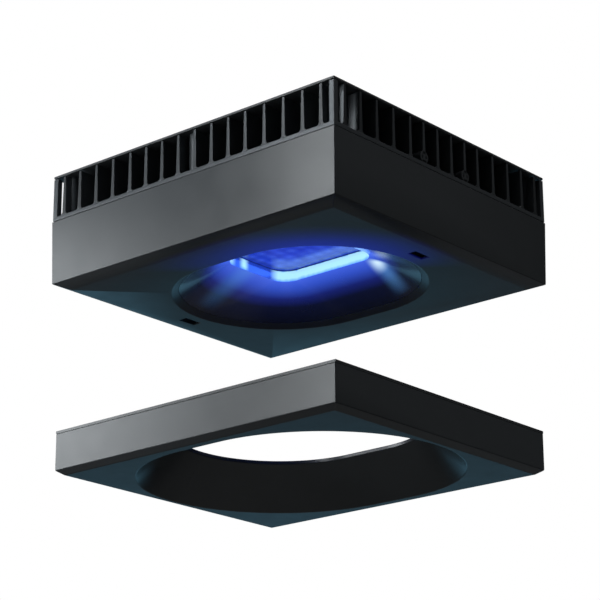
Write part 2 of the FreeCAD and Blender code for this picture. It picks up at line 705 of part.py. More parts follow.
def make_heatsink():
    """The cast heatsink: base plate, pedestal, louvre fins, posts, pillars and arm bosses."""
    half_x = lamp_len / 2 - size("sink_inset")
    half_y = lamp_wid / 2 - size("sink_inset")
    fan_room, fan_floor_gap, channel = 1.5, 1.0, 3.0
    fan_half = size("fan_size") / 2 + fan_room
    lean = (half_y - fan_half) / (half_x - fan_half)
    pedestal_len, pedestal_wid, pedestal_root = 104.0, 78.0, 0.5

    pieces = [box(-half_x, half_x, -half_y, half_y, seam_z, sill_top_z),
              block(0.0, 0.0, pad_z + size("pad_thick"), pedestal_len, pedestal_wid,
                    size("pedestal_tall") + pedestal_root)]
    for x in BAR_SPOTS_X:
        beside_fan = x < number(fan_half)
        inner = fan_half if beside_fan else fan_half + (x - fan_half) * lean + channel
        for side in (1, -1):
            pieces.extend(fin("Y", side * x, inner, half_y, fin_top_z))
            pieces.extend(fin("Y", side * x, -half_y, -inner, fin_top_z))
            if beside_fan:
                pieces.extend(fin("Y", side * x, -fan_half - OVERLAP, fan_half + OVERLAP,
                                  fan_z - fan_floor_gap))
    for y in BAR_SPOTS_Y:
        beside_fan = y < number(fan_half)
        inner = fan_half if beside_fan else fan_half + (y - fan_half) / lean + channel
        for side in (1, -1):
            pieces.extend(fin("X", side * y, inner, half_x, fin_top_z))
            pieces.extend(fin("X", side * y, -half_x, -inner, fin_top_z))

    post, cover_pillar, hanger_pillar = 3.5, 3.4, 5.2
    for sx in (1, -1):
        for sy in (1, -1):
            pieces.append(block(sx * (half_x - post / 2), sy * (half_y - post / 2), fin_foot_z,
                                post, post, fin_top_z - fin_foot_z))
    for spots, radius in ((COVER_SCREWS, cover_pillar), (HANGERS, hanger_pillar)):
        for x, y in spots:
            pieces.append(cylinder(x, y, fin_foot_z, radius, cover_z - fin_foot_z))
    arm_spots = [(sx, sy * size("arm_half")) for sx in (1, -1) for sy in (1, -1)]
    boss_long, hole_long = 9.0, 8.0
    holes = []
    for sx, y in arm_spots:
        boss_x = half_x - boss_long if sx > 0 else -half_x
        pieces.append(cylinder(boss_x, y, -size("arm_low"), size("arm_boss_rad"), boss_long, TO_PLUS_X))
        hole_x = half_x - hole_long if sx > 0 else -half_x
        holes.append(cylinder(hole_x, y, -size("arm_low"), size("arm_hole_rad"), hole_long, TO_PLUS_X))

    cover_pilot, lens_pilot, standoff_deep = 8.0, 6.5, 2.0
    for x, y in COVER_SCREWS:
        holes.append(cylinder(x, y, cover_z - cover_pilot, size("screw_rad") + PILOT_PLAY,
                              cover_pilot + THROUGH))
    for x, y in HANGERS:
        holes.append(cylinder(x, y, -size("insert_tall"), size("insert_rad"), size("insert_tall")))
    for x, y in HOUSING_SCREWS:
        holes.append(cylinder(x, y, seam_z - THROUGH, size("screw_rad") + BOARD_PLAY,
                              size("sill_thick") + 2 * THROUGH))
    for x, y in LENS_SCREWS:
        holes.append(cylinder(x, y, pad_z, size("screw_rad") + PILOT_PLAY, lens_pilot))
    for x, y in CONTROL_SCREWS:
        holes.append(cylinder(x, y, seam_z - THROUGH, CONTROL_HOLE, standoff_deep + THROUGH))
    node("heatsink", cut(fuse(pieces), fuse(holes)))
    housing_screw_long = 13.0
    group("housing_screws", [pan_screw(x, y, sill_top_z, housing_screw_long) for x, y in HOUSING_SCREWS])


def make_hanger_inserts():
    """Threaded inserts for the hanging wires, level with the cover."""
    inserts = []
    for x, y in HANGERS:
        inserts.append(tube(x, y, -size("insert_tall"), size("insert_rad"), size("hanger_hole_rad"),
                            size("insert_tall")))
    group("hanger_inserts", inserts)


# ---------------------------------------------------------------- top cover and fan

def make_top_cover():
    """The thin top plate with its round air intake of ring slots between spokes."""
    half_x, half_y = lamp_len / 2 - size("sink_inset"), lamp_wid / 2 - size("sink_inset")
    plate = box(-half_x, half_x, -half_y, half_y, cover_z, 0.0)
    ring_count, slot, pitch, spoke, spokes = 5, 4.2, 6.4, 3.2, 6
    grille_margin, insert_play, screw_long = 1.0, 0.1, 8.0
    outer_rad = size("fan_bore_rad") - grille_margin
    deep = size("cover_thick") + 2 * THROUGH
    rings = []
    for ring in range(ring_count):
        radius = outer_rad - ring * pitch
        rings.append(tube(0, 0, cover_z - THROUGH, radius, radius - slot, deep))
    bars = []
    for bar in range(spokes // 2):
        turn = Rotation(Vector(0, 0, 1), bar * 360.0 / spokes)
        corner = turn.multVec(Vector(-number(outer_rad) - THROUGH, -spoke / 2, number(cover_z) - 2 * THROUGH))
        bars.append(part_object("Box", Length=(outer_rad + THROUGH) * 2, Width=spoke,
                                Height=size("cover_thick") + 4 * THROUGH, base=tuple(corner), turn=turn))
    tools = [cut(fuse(rings), fuse(bars))]
    for x, y in COVER_SCREWS + FAN_SCREWS:
        tools += countersink(x, y, 0.0)
    for x, y in HANGERS:
        tools.append(cylinder(x, y, cover_z - THROUGH, size("insert_rad") + insert_play, deep))
    node("top_cover", cut(plate, fuse(tools)))
    group("cover_screws", [flat_screw(x, y, 0.0, screw_long) for x, y in COVER_SCREWS])


def make_fan_frame():
    """The fan's square frame: air bore, four struts, and the hub that carries the bearing."""
    half, bore = size("fan_size") / 2, size("fan_bore_rad")
    corner_rad, screw_hole, strut_half, strut_root = 5.0, 1.6, 2.0, 0.8
    well_rad, well_deep = 3.2, 8.4
    frame = make_body("fan_frame")
    outline = make_sketch(frame, fan_z)
    draw_rounded(outline, half, half, corner_rad)
    add_pad(frame, outline, size("fan_thick"))
    air = make_sketch(frame, cover_z)
    draw_circle(air, 0, 0, bore)
    for x, y in FAN_SCREWS:
        draw_circle(air, x, y, screw_hole)
    add_pocket(frame, air, size("fan_thick"))
    strut = make_sketch(frame, fan_z)
    draw_rectangle(strut, -strut_half, strut_half, 0.0, bore + strut_root)
    add_polar(frame, add_pad(frame, strut, FAN_FLOOR), 4)
    hub = make_sketch(frame, fan_z)
    draw_circle(hub, 0, 0, size("rotor_hub_rad"))
    add_pad(frame, hub, FAN_FLOOR)
    tower = make_sketch(frame, fan_z + FAN_FLOOR)
    draw_circle(tower, 0, 0, FAN_TOWER_RAD)
    add_pad(frame, tower, FAN_TOWER_TALL)
    tower_top_z = fan_z + FAN_FLOOR + FAN_TOWER_TALL
    well = make_sketch(frame, tower_top_z)
    draw_circle(well, 0, 0, well_rad)
    add_pocket(frame, well, well_deep)
    group("fan_screws", [flat_screw(x, y, 0.0, 12.0) for x, y in FAN_SCREWS])

    bearing_z, bearing_tall = fan_z + FAN_FLOOR + BEARING_LIFT, 7.4
    bearing_bore = size("shaft_rad") + size("running_gap")
    node("fan_bearing", tube(0, 0, bearing_z, well_rad, bearing_bore, bearing_tall))


def make_fan_stator():
    """The wound core on the bearing tower: four arms, each with a curved-in shoe."""
    core_rad, core_tall, core_lift, core_play = 7.2, 5.2, 1.4, 0.1
    stator = make_body("fan_stator")
    core = make_sketch(stator, fan_z + FAN_FLOOR + core_lift)
    draw_circle(core, 0, 0, core_rad)
    add_pad(stator, core, core_tall)
    for half_width, near, far, lift, tall in ((2.4, 5.0, 11.4, 1.9, 4.2), (5.4, 9.8, 11.2, 1.6, 4.8)):
        arm = make_sketch(stator, fan_z + FAN_FLOOR + lift)
        draw_rectangle(arm, -half_width, half_width, near, far)
        add_polar(stator, add_pad(stator, arm, tall), 4)
    core_hole = make_sketch(stator, fan_z + FAN_FLOOR + core_tall + core_lift + THROUGH)
    draw_circle(core_hole, 0, 0, FAN_TOWER_RAD + core_play)
    add_pocket(stator, core_hole, core_tall + core_lift + THROUGH)


def make_fan_rotor():
    """The bladed cup with its ring magnet and the shaft that runs in the bearing."""
    lift, rotor_tall, roof, cup_wall = 0.7, 11.0, 1.6, 1.4
    boss_rad, boss_tall, seat_deep = 2.8, 1.4, 1.8
    magnet_lift, magnet_tall, magnet_thick, magnet_play = 0.6, 8.0, 2.35, 0.05
    blade_count, blade_root, blade_foot, blade_head = 7, 1.2, 0.6, 0.7
    hub = size("rotor_hub_rad")
    rotor_z = fan_z + FAN_FLOOR + lift
    roof_z = rotor_z + (rotor_tall - roof)
    rotor = make_body("fan_rotor")
    cup = make_sketch(rotor, rotor_z)
    draw_circle(cup, 0, 0, hub)
    add_pad(rotor, cup, rotor_tall)
    inside = make_sketch(rotor, roof_z)
    draw_circle(inside, 0, 0, hub - cup_wall)
    add_pocket(rotor, inside, rotor_tall - roof)
    boss = make_sketch(rotor, roof_z)
    draw_circle(boss, 0, 0, boss_rad)
    add_pad(rotor, boss, boss_tall, reverse=True)
    seat = make_sketch(rotor, roof_z - boss_tall)
    draw_circle(seat, 0, 0, size("shaft_rad"))
    add_pocket(rotor, seat, seat_deep, upward=True)
    blade = make_sketch(rotor, blade_root - hub, "XZ_Plane")
    draw_blade(blade, number(rotor_z) + blade_foot, number(rotor_z) + rotor_tall - blade_head)
    add_polar(rotor, add_pad(rotor, blade, size("rotor_tip") - hub + blade_root, reverse=True), blade_count)

    magnet_out = hub - cup_wall - magnet_play
    node("fan_magnet", tube(0, 0, rotor_z + magnet_lift, magnet_out, magnet_out - magnet_thick, magnet_tall))
    shaft_z = fan_z + FAN_FLOOR + BEARING_LIFT * 2
    node("fan_shaft", cylinder(0, 0, shaft_z, size("shaft_rad"), roof_z - shaft_z))


def draw_blade(sketch, low, high):
    """The bent section of a fan blade: a thin arc from the trailing to the leading edge."""
    reach, thick, sag = 8.6, 1.3, 1.5
    lower = [Vector(-reach, low, 0), Vector(sag, (low + high) / 2 - sag, 0), Vector(reach, high - thick, 0)]
    upper = [p + Vector(0, thick, 0) for p in lower]
    sketch.addGeometry(Part.Arc(*lower))
    sketch.addGeometry(Part.Arc(*upper))
    sketch.addGeometry(Part.LineSegment(lower[0], upper[0]))
    sketch.addGeometry(Part.LineSegment(lower[2], upper[2]))
    start, end = ((1, 1), (2, 2)) if sketch.Geometry[0].StartPoint.x < 0 else ((2, 2), (1, 1))
    for line, vertex in ((2, start), (3, end)):
        sketch.addConstraint(Sketcher.Constraint("Coincident", 0, vertex[0], line, 1))
        sketch.addConstraint(Sketcher.Constraint("Coincident", 1, vertex[1], line, 2))


# ---------------------------------------------------------------- electronics

def make_control_board():
    """The control and driver board, hung under the heatsink beside the light board."""
    standoff_tall, board_half = 6.0, (18.0, 45.0)
    middle = (CONTROL_SCREWS[0][0] + CONTROL_SCREWS[-1][0]) / 2
    board_top_z = seam_z - standoff_tall
    board_z = board_top_z - size("board_thick")
    drilled_plate("control_board", middle - board_half[0], middle + board_half[0], -board_half[1],
                  board_half[1], board_z, size("board_thick"), CONTROL_SCREWS, CONTROL_HOLE)
    group("board_standoffs", [tube(x, y, board_top_z, 2.8, 1.25, standoff_tall) for x, y in CONTROL_SCREWS])
    group("board_screws", [pan_screw(x, y, board_z, 5.0, points_down=False, radius=1.2)
                           for x, y in CONTROL_SCREWS])

    coil_x, coil_wide, coil_tall, coil_hole, coil_dent = -77.0, 12.0, 6.5, 4.2, 1.6
    coils = []
    for y in (-30.0, -15.0, 0.0, 15.0):
        case = block(coil_x, y, board_z - coil_tall, coil_wide, coil_wide, coil_tall)
        dent = cylinder(coil_x, y, board_z - coil_tall - THROUGH, coil_hole, coil_dent + THROUGH)
        coils.append(cut(case, dent))
    group("driver_coils", coils)
    can_x, can_rad, can_tall = -63.0, 4.0, 11.0
    group("driver_capacitors", [cylinder(can_x, y, board_z, can_rad, can_tall, DOWN)
                                for y in (-26.0, -15.0, -4.0)])

    module_x, module_y, module_len, module_wid, base_tall = -63.0, 21.0, 12.0, 26.0, 0.8
    can_y, shield_len, shield_wid, shield_tall = 17.8, 10.8, 18.4, 2.4
    base_z = board_z - base_tall
    node("wireless_module", fuse([
        block(module_x, module_y, base_z, module_len, module_wid, base_tall),
        block(module_x, can_y, base_z - shield_tall, shield_len, shield_wid, shield_tall)]))
    plug_x, plug_len, plug_wid, plug_tall = -87.25, 4.5, 10.0, 5.0
    group("board_plugs", [block(plug_x, y, board_z - plug_tall, plug_len, plug_wid, plug_tall)
                          for y in (-26.0, 0.0, 26.0)])


def make_power_inlet():
    """The round power socket with its centre pin, and the nut that holds it."""
    jack_rad, jack_len, flange_rad, flange_thick = 5.5, 15.0, 7.2, 1.5
    throat_rad, throat_deep, pin_rad, pin_long, pin_root = 2.9, 8.5, 1.05, 8.6, 0.5
    jack = fuse([cylinder(INLET_X, PANEL_OUT_Y - jack_len, PANEL_Z, jack_rad, jack_len, TO_PLUS_Y),
                 cylinder(INLET_X, PANEL_OUT_Y, PANEL_Z, flange_rad, flange_thick, TO_PLUS_Y)])
    throat_y = PANEL_OUT_Y - throat_deep
    throat = cylinder(INLET_X, throat_y, PANEL_Z, throat_rad, throat_deep + flange_thick + THROUGH, TO_PLUS_Y)
    pin = cylinder(INLET_X, throat_y - pin_root, PANEL_Z, pin_rad, pin_long, TO_PLUS_Y)
    node("power_inlet", fuse([cut(jack, throat), pin]))

    nut_rad, nut_thick, nut_gap, nut_play = 8.2, 2.4, 0.2, 0.05
    nut_y = PANEL_IN_Y - nut_thick - nut_gap
    nut = hex_prism(INLET_X, nut_y, PANEL_Z, nut_rad, nut_thick, TO_PLUS_Y)
    thread = cylinder(INLET_X, nut_y - THROUGH, PANEL_Z, jack_rad + nut_play, nut_thick + 2 * THROUGH,
                      TO_PLUS_Y)
    node("inlet_nut", cut(nut, thread))


def make_pair_switch():
    """The pairing button, its switch and status light on a small board behind the rear wall."""
    cap_rad, cap_proud, collar_rad, collar_y, collar_thick = 3.0, 0.75, 4.2, 91.1, 1.2
    cap_back, switch_gap, plunger_rad, plunger_in = 89.4, 1.3, 1.5, 0.4
    case_size, case_deep, well_rad, well_deep = 6.0, 3.6, 1.8, 3.0
    cap_long = PANEL_OUT_Y + cap_proud - cap_back
    node("pair_button", fuse([cylinder(BUTTON_X, cap_back, PANEL_Z, cap_rad, cap_long, TO_PLUS_Y),
                              cylinder(BUTTON_X, collar_y, PANEL_Z, collar_rad, collar_thick, TO_PLUS_Y)]))
    plunger_long = switch_gap + size("press_travel") + plunger_in
    node("switch_plunger", cylinder(BUTTON_X, cap_back - plunger_long, PANEL_Z, plunger_rad, plunger_long,
                                    TO_PLUS_Y))
    case_y = cap_back - switch_gap
    case = block(BUTTON_X, case_y - case_deep / 2, PANEL_Z - case_size / 2, case_size, case_deep, case_size)
    well = cylinder(BUTTON_X, case_y - well_deep, PANEL_Z, well_rad, well_deep + THROUGH, TO_PLUS_Y)
    node("switch_case", cut(case, well))

    board_thick, board_len, board_tall, board_x = 1.6, 26.7, 12.0, -57.15
    board_front_y = case_y - case_deep
    board_y = board_front_y - board_thick
    posts = [BUTTON_X - 7.5, LIGHT_X + 5.4]
    board = block(board_x, board_y + board_thick / 2, PANEL_Z - board_tall / 2, board_len, board_thick,
                  board_tall)
    holes = [cylinder(x, board_y - THROUGH, PANEL_Z, 1.3, 4.0, TO_PLUS_Y) for x in posts]
    node("button_board", cut(board, fuse(holes)))
    post_rad, post_hole, post_gap = 2.3, 1.0, 0.15
    group("button_posts", [tube(x, board_front_y, PANEL_Z, post_rad, post_hole,
                                PANEL_IN_Y - post_gap - board_front_y, TO_PLUS_Y) for x in posts])
    head_rad, head_tall, shank_rad, shank_long = 2.2, 1.4, 0.95, 5.0
    screws = []
    for x in posts:
        head = cylinder(x, board_y - head_tall, PANEL_Z, head_rad, head_tall, TO_PLUS_Y)
        screws.append(fuse([head, cylinder(x, board_y, PANEL_Z, shank_rad, shank_long, TO_PLUS_Y)]))
    group("button_board_screws", screws)

    foot_rad, foot_tall, pipe_rad, pipe_lift, pipe_proud = 2.4, 1.4, 1.5, 1.0, 0.1
    pipe_y = board_front_y + pipe_lift
    pipe_long = PANEL_OUT_Y + pipe_proud - pipe_y
    node("status_light", fuse([cylinder(LIGHT_X, pipe_y, PANEL_Z, pipe_rad, pipe_long, TO_PLUS_Y),
                               cylinder(LIGHT_X, board_front_y, PANEL_Z, foot_rad, foot_tall, TO_PLUS_Y)]))


# ---------------------------------------------------------------- shade

def make_shade_shell():
    """The hollow moulding: upright outer walls, sloping band, and the flared light funnel."""
    body = make_body("shade_shell")
    length, width = size("shade_len"), size("shade_wid")
    rim = -size("shade_rim_low")
    plate_z = shade_top_z - size("shade_plate")
    edge = 2 * size("shade_edge_in")
    outline = []
    for z, cut_back in ((plate_z, 0.0), (rim, 0.0), (shade_floor_z, edge)):
        outline.append(make_sketch(body, z))
        draw_plate(outline[-1], length - cut_back, width - cut_back)
    add_loft(body, outline)
    add_rounding(body, size("edge_round"), is_not_level_except(rim))

    wall = size("shade_wall")
    hollow = make_sketch(body, plate_z)
    draw_plate(hollow, length - 2 * wall, width - 2 * wall)
    add_pocket(body, hollow, plate_z - shade_floor_z - wall)

    neck_top = shade_top_z + size("collar_up")
    neck_foot = neck_top - size("collar_tall")
    low_rad, high_rad = size("shade_mouth_rad"), size("shade_neck_rad")
    boss_rad, boss_root, pilot_deep = 3.4, 0.4, 9.0
    skin = []
    skin_wall = size("collar_wall")
    for z, radius in ((neck_foot, high_rad + skin_wall), (shade_floor_z, low_rad + skin_wall)):
        skin.append(make_sketch(body, z))
        draw_stadium(skin[-1], straight, radius)
    add_loft(body, skin)
    collar = make_sketch(body, neck_foot)
    draw_stadium(collar, straight, high_rad + skin_wall)
    add_pad(body, collar, size("collar_tall"))
    boss_z = shade_floor_z + wall - boss_root
    bosses = make_sketch(body, boss_z)
    for x, y in SHADE_SCREWS:
        draw_circle(bosses, x, y, boss_rad)
    add_pad(body, bosses, plate_z - boss_z)

    light = []
    for z, radius in ((neck_foot, high_rad), (shade_floor_z, low_rad)):
        light.append(make_sketch(body, z))
        draw_stadium(light[-1], straight, radius)
    add_loft(body, light, subtract=True)
    throat = make_sketch(body, neck_top)
    draw_stadium(throat, straight, high_rad)
    add_pocket(body, throat, size("collar_tall"))
    pilots = make_sketch(body, plate_z)
    for x, y in SHADE_SCREWS:
        draw_circle(pilots, x, y, size("screw_rad") + PILOT_PLAY)
    add_pocket(body, pilots, pilot_deep)


def make_shade_plate():
    """The flat ring that closes the shade's top, round the collar."""
    collar_play, clip_play, screw_long = 0.5, 0.1, 9.0
    plate_z = shade_top_z - size("shade_plate")
    body = doc.addObject("PartDesign::Body", "shade_top_blank")
    outline = make_sketch(body, plate_z)
    draw_plate(outline, size("shade_len"), size("shade_wid"))
    add_pad(body, outline, size("shade_plate"))
    opening = make_sketch(body, shade_top_z)
    draw_stadium(opening, straight, size("shade_neck_rad") + size("collar_wall") + collar_play)
    half_x, half_y = size("clip_len") / 2 + clip_play, size("clip_wid") / 2 + clip_play
    for side in (1, -1):
        middle = side * size("slot_out")
        draw_rectangle(opening, middle - half_x, middle + half_x, -half_y, half_y)
    add_pocket(body, opening, size("shade_plate"))
    tools = []
    for x, y in SHADE_SCREWS:
        tools += countersink(x, y, shade_top_z)
    node("shade_top", cut(body, fuse(tools)))
    group("shade_screws", [flat_screw(x, y, shade_top_z, screw_long) for x, y in SHADE_SCREWS])


def make_shade_clips():
    """Sprung two-legged tongues that push up into the lamp's clip slots."""
    foot_half_x, foot_half_y, foot_thick = 4.4, 8.5, 1.5
    plate_z = shade_top_z - size("shade_plate")
    tip_z = shade_top_z + size("clip_up")
    for side, label in ((1, "shade_clip_right"), (-1, "shade_clip_left")):
        middle = side * size("slot_out")
        body = make_body(label)
        foot = make_sketch(body, plate_z)
        draw_rectangle(foot, middle - foot_half_x, middle + foot_half_x, -foot_half_y, foot_half_y)
        add_pad(body, foot, foot_thick, reverse=True)
        tongue = make_sketch(body, plate_z)
        draw_rectangle(tongue, middle - size("clip_len") / 2, middle + size("clip_len") / 2,
                       -size("clip_wid") / 2, size("clip_wid") / 2)
        add_pad(body, tongue, tip_z - plate_z)
        notches = make_sketch(body, -(size("clip_wid") / 2 + THROUGH), "XZ_Plane")
        draw_clip_notches(notches, middle, plate_z, tip_z)
        add_pocket(body, notches, size("clip_wid") + 2 * THROUGH, upward=True)


def draw_clip_notches(sketch, middle, plate_z, tip_z):
    """The slit between the legs, and the waists that leave a barb at each leg's end."""
    slit, waist, barb_tall, ramp, nose_in, clear = 1.4, 0.7, 0.9, 1.4, 1.2, 0.5
    slit_foot, waist_foot = 2.4, 0.6
    draw_rectangle(sketch, middle - slit / 2, middle + slit / 2, plate_z + slit_foot, tip_z + THROUGH)
    mid, half = number(middle), number(size("clip_len")) / 2
    low, high = number(shade_top_z) + waist_foot, number(tip_z)
    barb_z, ramp_z = high - ramp - barb_tall, high - ramp
    for side in (1, -1):
        outer, face = mid + side * (half + clear), mid + side * half
        inner, nose = mid + side * (half - waist), mid + side * (half - nose_in)
        draw_polygon(sketch, [(outer, low), (inner, low), (inner, barb_z), (outer, barb_z)])
        draw_polygon(sketch, [(outer, ramp_z), (face, ramp_z), (nose, high + clear), (outer, high + clear)])


def draw_polygon(sketch, points):
    """A closed run of straight lines through the points."""
    first = sketch.GeometryCount
    count = len(points)
    corners = [Vector(x, y, 0) for x, y in points]
    for i in range(count):
        sketch.addGeometry(Part.LineSegment(corners[i], corners[(i + 1) % count]))
    for i in range(count):
        sketch.addConstraint(Sketcher.Constraint("Coincident", first + i, 2, first + (i + 1) % count, 1))


# ---------------------------------------------------------------- build and export

def check_and_export():
    """Stop on any failed object or bad shape, then write one file for each sub-part."""
    doc.recompute()
    for thing in doc.Objects:
        if "Invalid" in thing.State or "Error" in thing.State:
            raise RuntimeError(f"{thing.Label} failed: {thing.State}")
    os.makedirs("parts", exist_ok=True)
    for label, thing in nodes.items():
        shape = thing.Shape
        if shape.isNull() or not shape.isValid() or not shape.Solids:
            raise RuntimeError(f"{label} has no valid solid")
        shape.exportStep(f"parts/{label}.step")
        print(f"{label:22s} solids {len(shape.Solids):3d}  volume {shape.Volume:10.1f}")


def main():
    """Make every sub-part in the order of the lamp, then the shade."""
    make_lower_housing()
    make_housing_seal()
    make_light_bowl()
    make_optics()
    make_light_board()
    make_heatsink()
    make_hanger_inserts()
    make_top_cover()
    make_fan_frame()
    make_fan_stator()
    make_fan_rotor()
    make_control_board()
    make_power_inlet()
    make_pair_switch()
    make_shade_shell()
    make_shade_plate()
    make_shade_clips()
    check_and_export()


main()
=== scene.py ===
"""Looks of a pendant aquarium light and its clip-on light shade, built round their fixed frame."""
import logging
import math
from collections.abc import Callable, Iterable
from dataclasses import dataclass
from enum import Enum

import bmesh
import bpy
from mathutils import Matrix, Vector

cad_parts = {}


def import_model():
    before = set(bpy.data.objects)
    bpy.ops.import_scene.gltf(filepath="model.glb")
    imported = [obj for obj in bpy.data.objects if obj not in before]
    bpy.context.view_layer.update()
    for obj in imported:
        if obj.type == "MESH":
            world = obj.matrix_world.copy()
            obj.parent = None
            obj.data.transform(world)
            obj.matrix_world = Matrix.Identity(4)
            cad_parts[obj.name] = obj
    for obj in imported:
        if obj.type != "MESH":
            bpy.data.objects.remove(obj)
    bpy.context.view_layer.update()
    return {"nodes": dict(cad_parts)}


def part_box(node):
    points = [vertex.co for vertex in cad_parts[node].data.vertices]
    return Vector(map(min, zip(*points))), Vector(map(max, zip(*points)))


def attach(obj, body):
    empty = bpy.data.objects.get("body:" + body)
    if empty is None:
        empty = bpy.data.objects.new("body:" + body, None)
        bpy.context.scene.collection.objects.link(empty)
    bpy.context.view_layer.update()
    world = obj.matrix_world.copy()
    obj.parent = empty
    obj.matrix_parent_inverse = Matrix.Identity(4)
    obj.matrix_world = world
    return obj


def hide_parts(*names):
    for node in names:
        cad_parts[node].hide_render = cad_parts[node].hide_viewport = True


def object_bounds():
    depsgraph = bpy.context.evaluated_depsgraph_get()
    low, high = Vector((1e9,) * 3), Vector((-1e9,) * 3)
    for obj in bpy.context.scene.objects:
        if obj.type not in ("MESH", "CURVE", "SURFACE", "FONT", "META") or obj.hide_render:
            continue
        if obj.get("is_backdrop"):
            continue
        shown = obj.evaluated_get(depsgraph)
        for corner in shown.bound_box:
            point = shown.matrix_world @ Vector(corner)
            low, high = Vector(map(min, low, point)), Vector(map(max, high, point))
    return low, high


LOG = logging.getLogger("aquarium_light")
MM = 0.001
Colour = tuple[float, float, float]
Spot = tuple[float, float]
Place = tuple[float, float, float]
Test = Callable[[Vector, Vector], bool]

BLACK: Colour = (0.0, 0.0, 0.0)
WHITE: Colour = (1.0, 1.0, 1.0)
EVEN: Colour = (1.0, 1.0, 1.0)  # a pattern that isn't stretched
NOISE_LOW, NOISE_HIGH = 0.3, 0.7  # most of a noise texture lies between these
RUBBED_FROM, RUBBED_TO = 0.515, 0.60  # pointiness where rubbing starts, and where it is full
GLOSS_PATCHES = 2.3  # patches of gloss for each cloud of tone

FACING = 0.99  # a face looks a way when its normal is this much along it
NORMAL_WEIGHT = 60  # how much large faces rule the shading beside them
SOFT_STEPS, SOFT_ANGLE = 3, 24.0  # facets of a shell's rounded edge, and how sharp an edge gets one
SHELL_SMOOTH = 26.0  # edges of a shell flatter than this, in degrees, are shaded smooth
ROUND, SMALL_ROUND = 96, 32  # flats round a wide circle, and round a screw's
OVERLAP = 0.2 * MM  # how far joined solids reach into each other
PAST = 1.0 * MM  # how far a cutting tool runs past what it cuts
STRAIGHT = 14.7 * MM  # half the straight stretch in the light opening's long sides
MOUTH = 63.2 * MM  # radius of the light opening's round ends, at the underside


def colour4(colour: Colour) -> tuple[float, float, float, float]:
    """A colour with full opacity, as sockets and ramps take it."""
    return (*colour, 1.0)


def mirrored(spots: Iterable[Spot]) -> list[Spot]:
    """Points repeated in all four quarters of the plan.

    Args:
        spots: Points of the quarter where X and Y are positive.

    Returns:
        Every point with each pair of signs.
    """
    return [(sx * x, sy * y) for x, y in spots for sx in (1, -1) for sy in (1, -1)]


def every_face(middle: Vector, normal: Vector) -> bool:
    """A test that any face passes."""
    return True


def level_face(middle: Vector, normal: Vector) -> bool:
    """A test for the faces that look straight up or down."""
    return abs(normal.z) > FACING


def shift(x: float = 0.0, y: float = 0.0, z: float = 0.0) -> Matrix:
    """A move without a turn."""
    return Matrix.Translation((x, y, z))


# ---------------------------------------------------------------- materials

class Term:
    """A shader value. Arithmetic on it adds Math nodes to its recipe."""

    def __init__(self, recipe: "Recipe", socket: bpy.types.NodeSocket) -> None:
        """Keep the socket and the recipe that it belongs to."""
        self.recipe = recipe
        self.socket = socket

    def _math(self, operation: str, first: "Value", second: "Value") -> "Term":
        """One Math node on two values."""
        return self.recipe.add("ShaderNodeMath", {"operation": operation}, {0: first, 1: second})

    def __add__(self, other: "Value") -> "Term":
        """This value plus another."""
        return self._math("ADD", self, other)

    def __radd__(self, other: "Value") -> "Term":
        """Another value plus this one."""
        return self._math("ADD", other, self)

    def __sub__(self, other: "Value") -> "Term":
        """This value less another."""
        return self._math("SUBTRACT", self, other)

    def __rsub__(self, other: "Value") -> "Term":
        """Another value less this one."""
        return self._math("SUBTRACT", other, self)

    def __mul__(self, other: "Value") -> "Term":
        """This value times another."""
        return self._math("MULTIPLY", self, other)

    def __rmul__(self, other: "Value") -> "Term":
        """Another value times this one."""
        return self._math("MULTIPLY", other, self)

    def over(self, limit: float) -> "Term":
        """One where this value is above the limit, and zero elsewhere."""
        return self._math("GREATER_THAN", self, limit)

    def size(self) -> "Term":
        """This value without its sign."""
        return self._math("ABSOLUTE", self, 0.0)



Value = Term | float | Colour


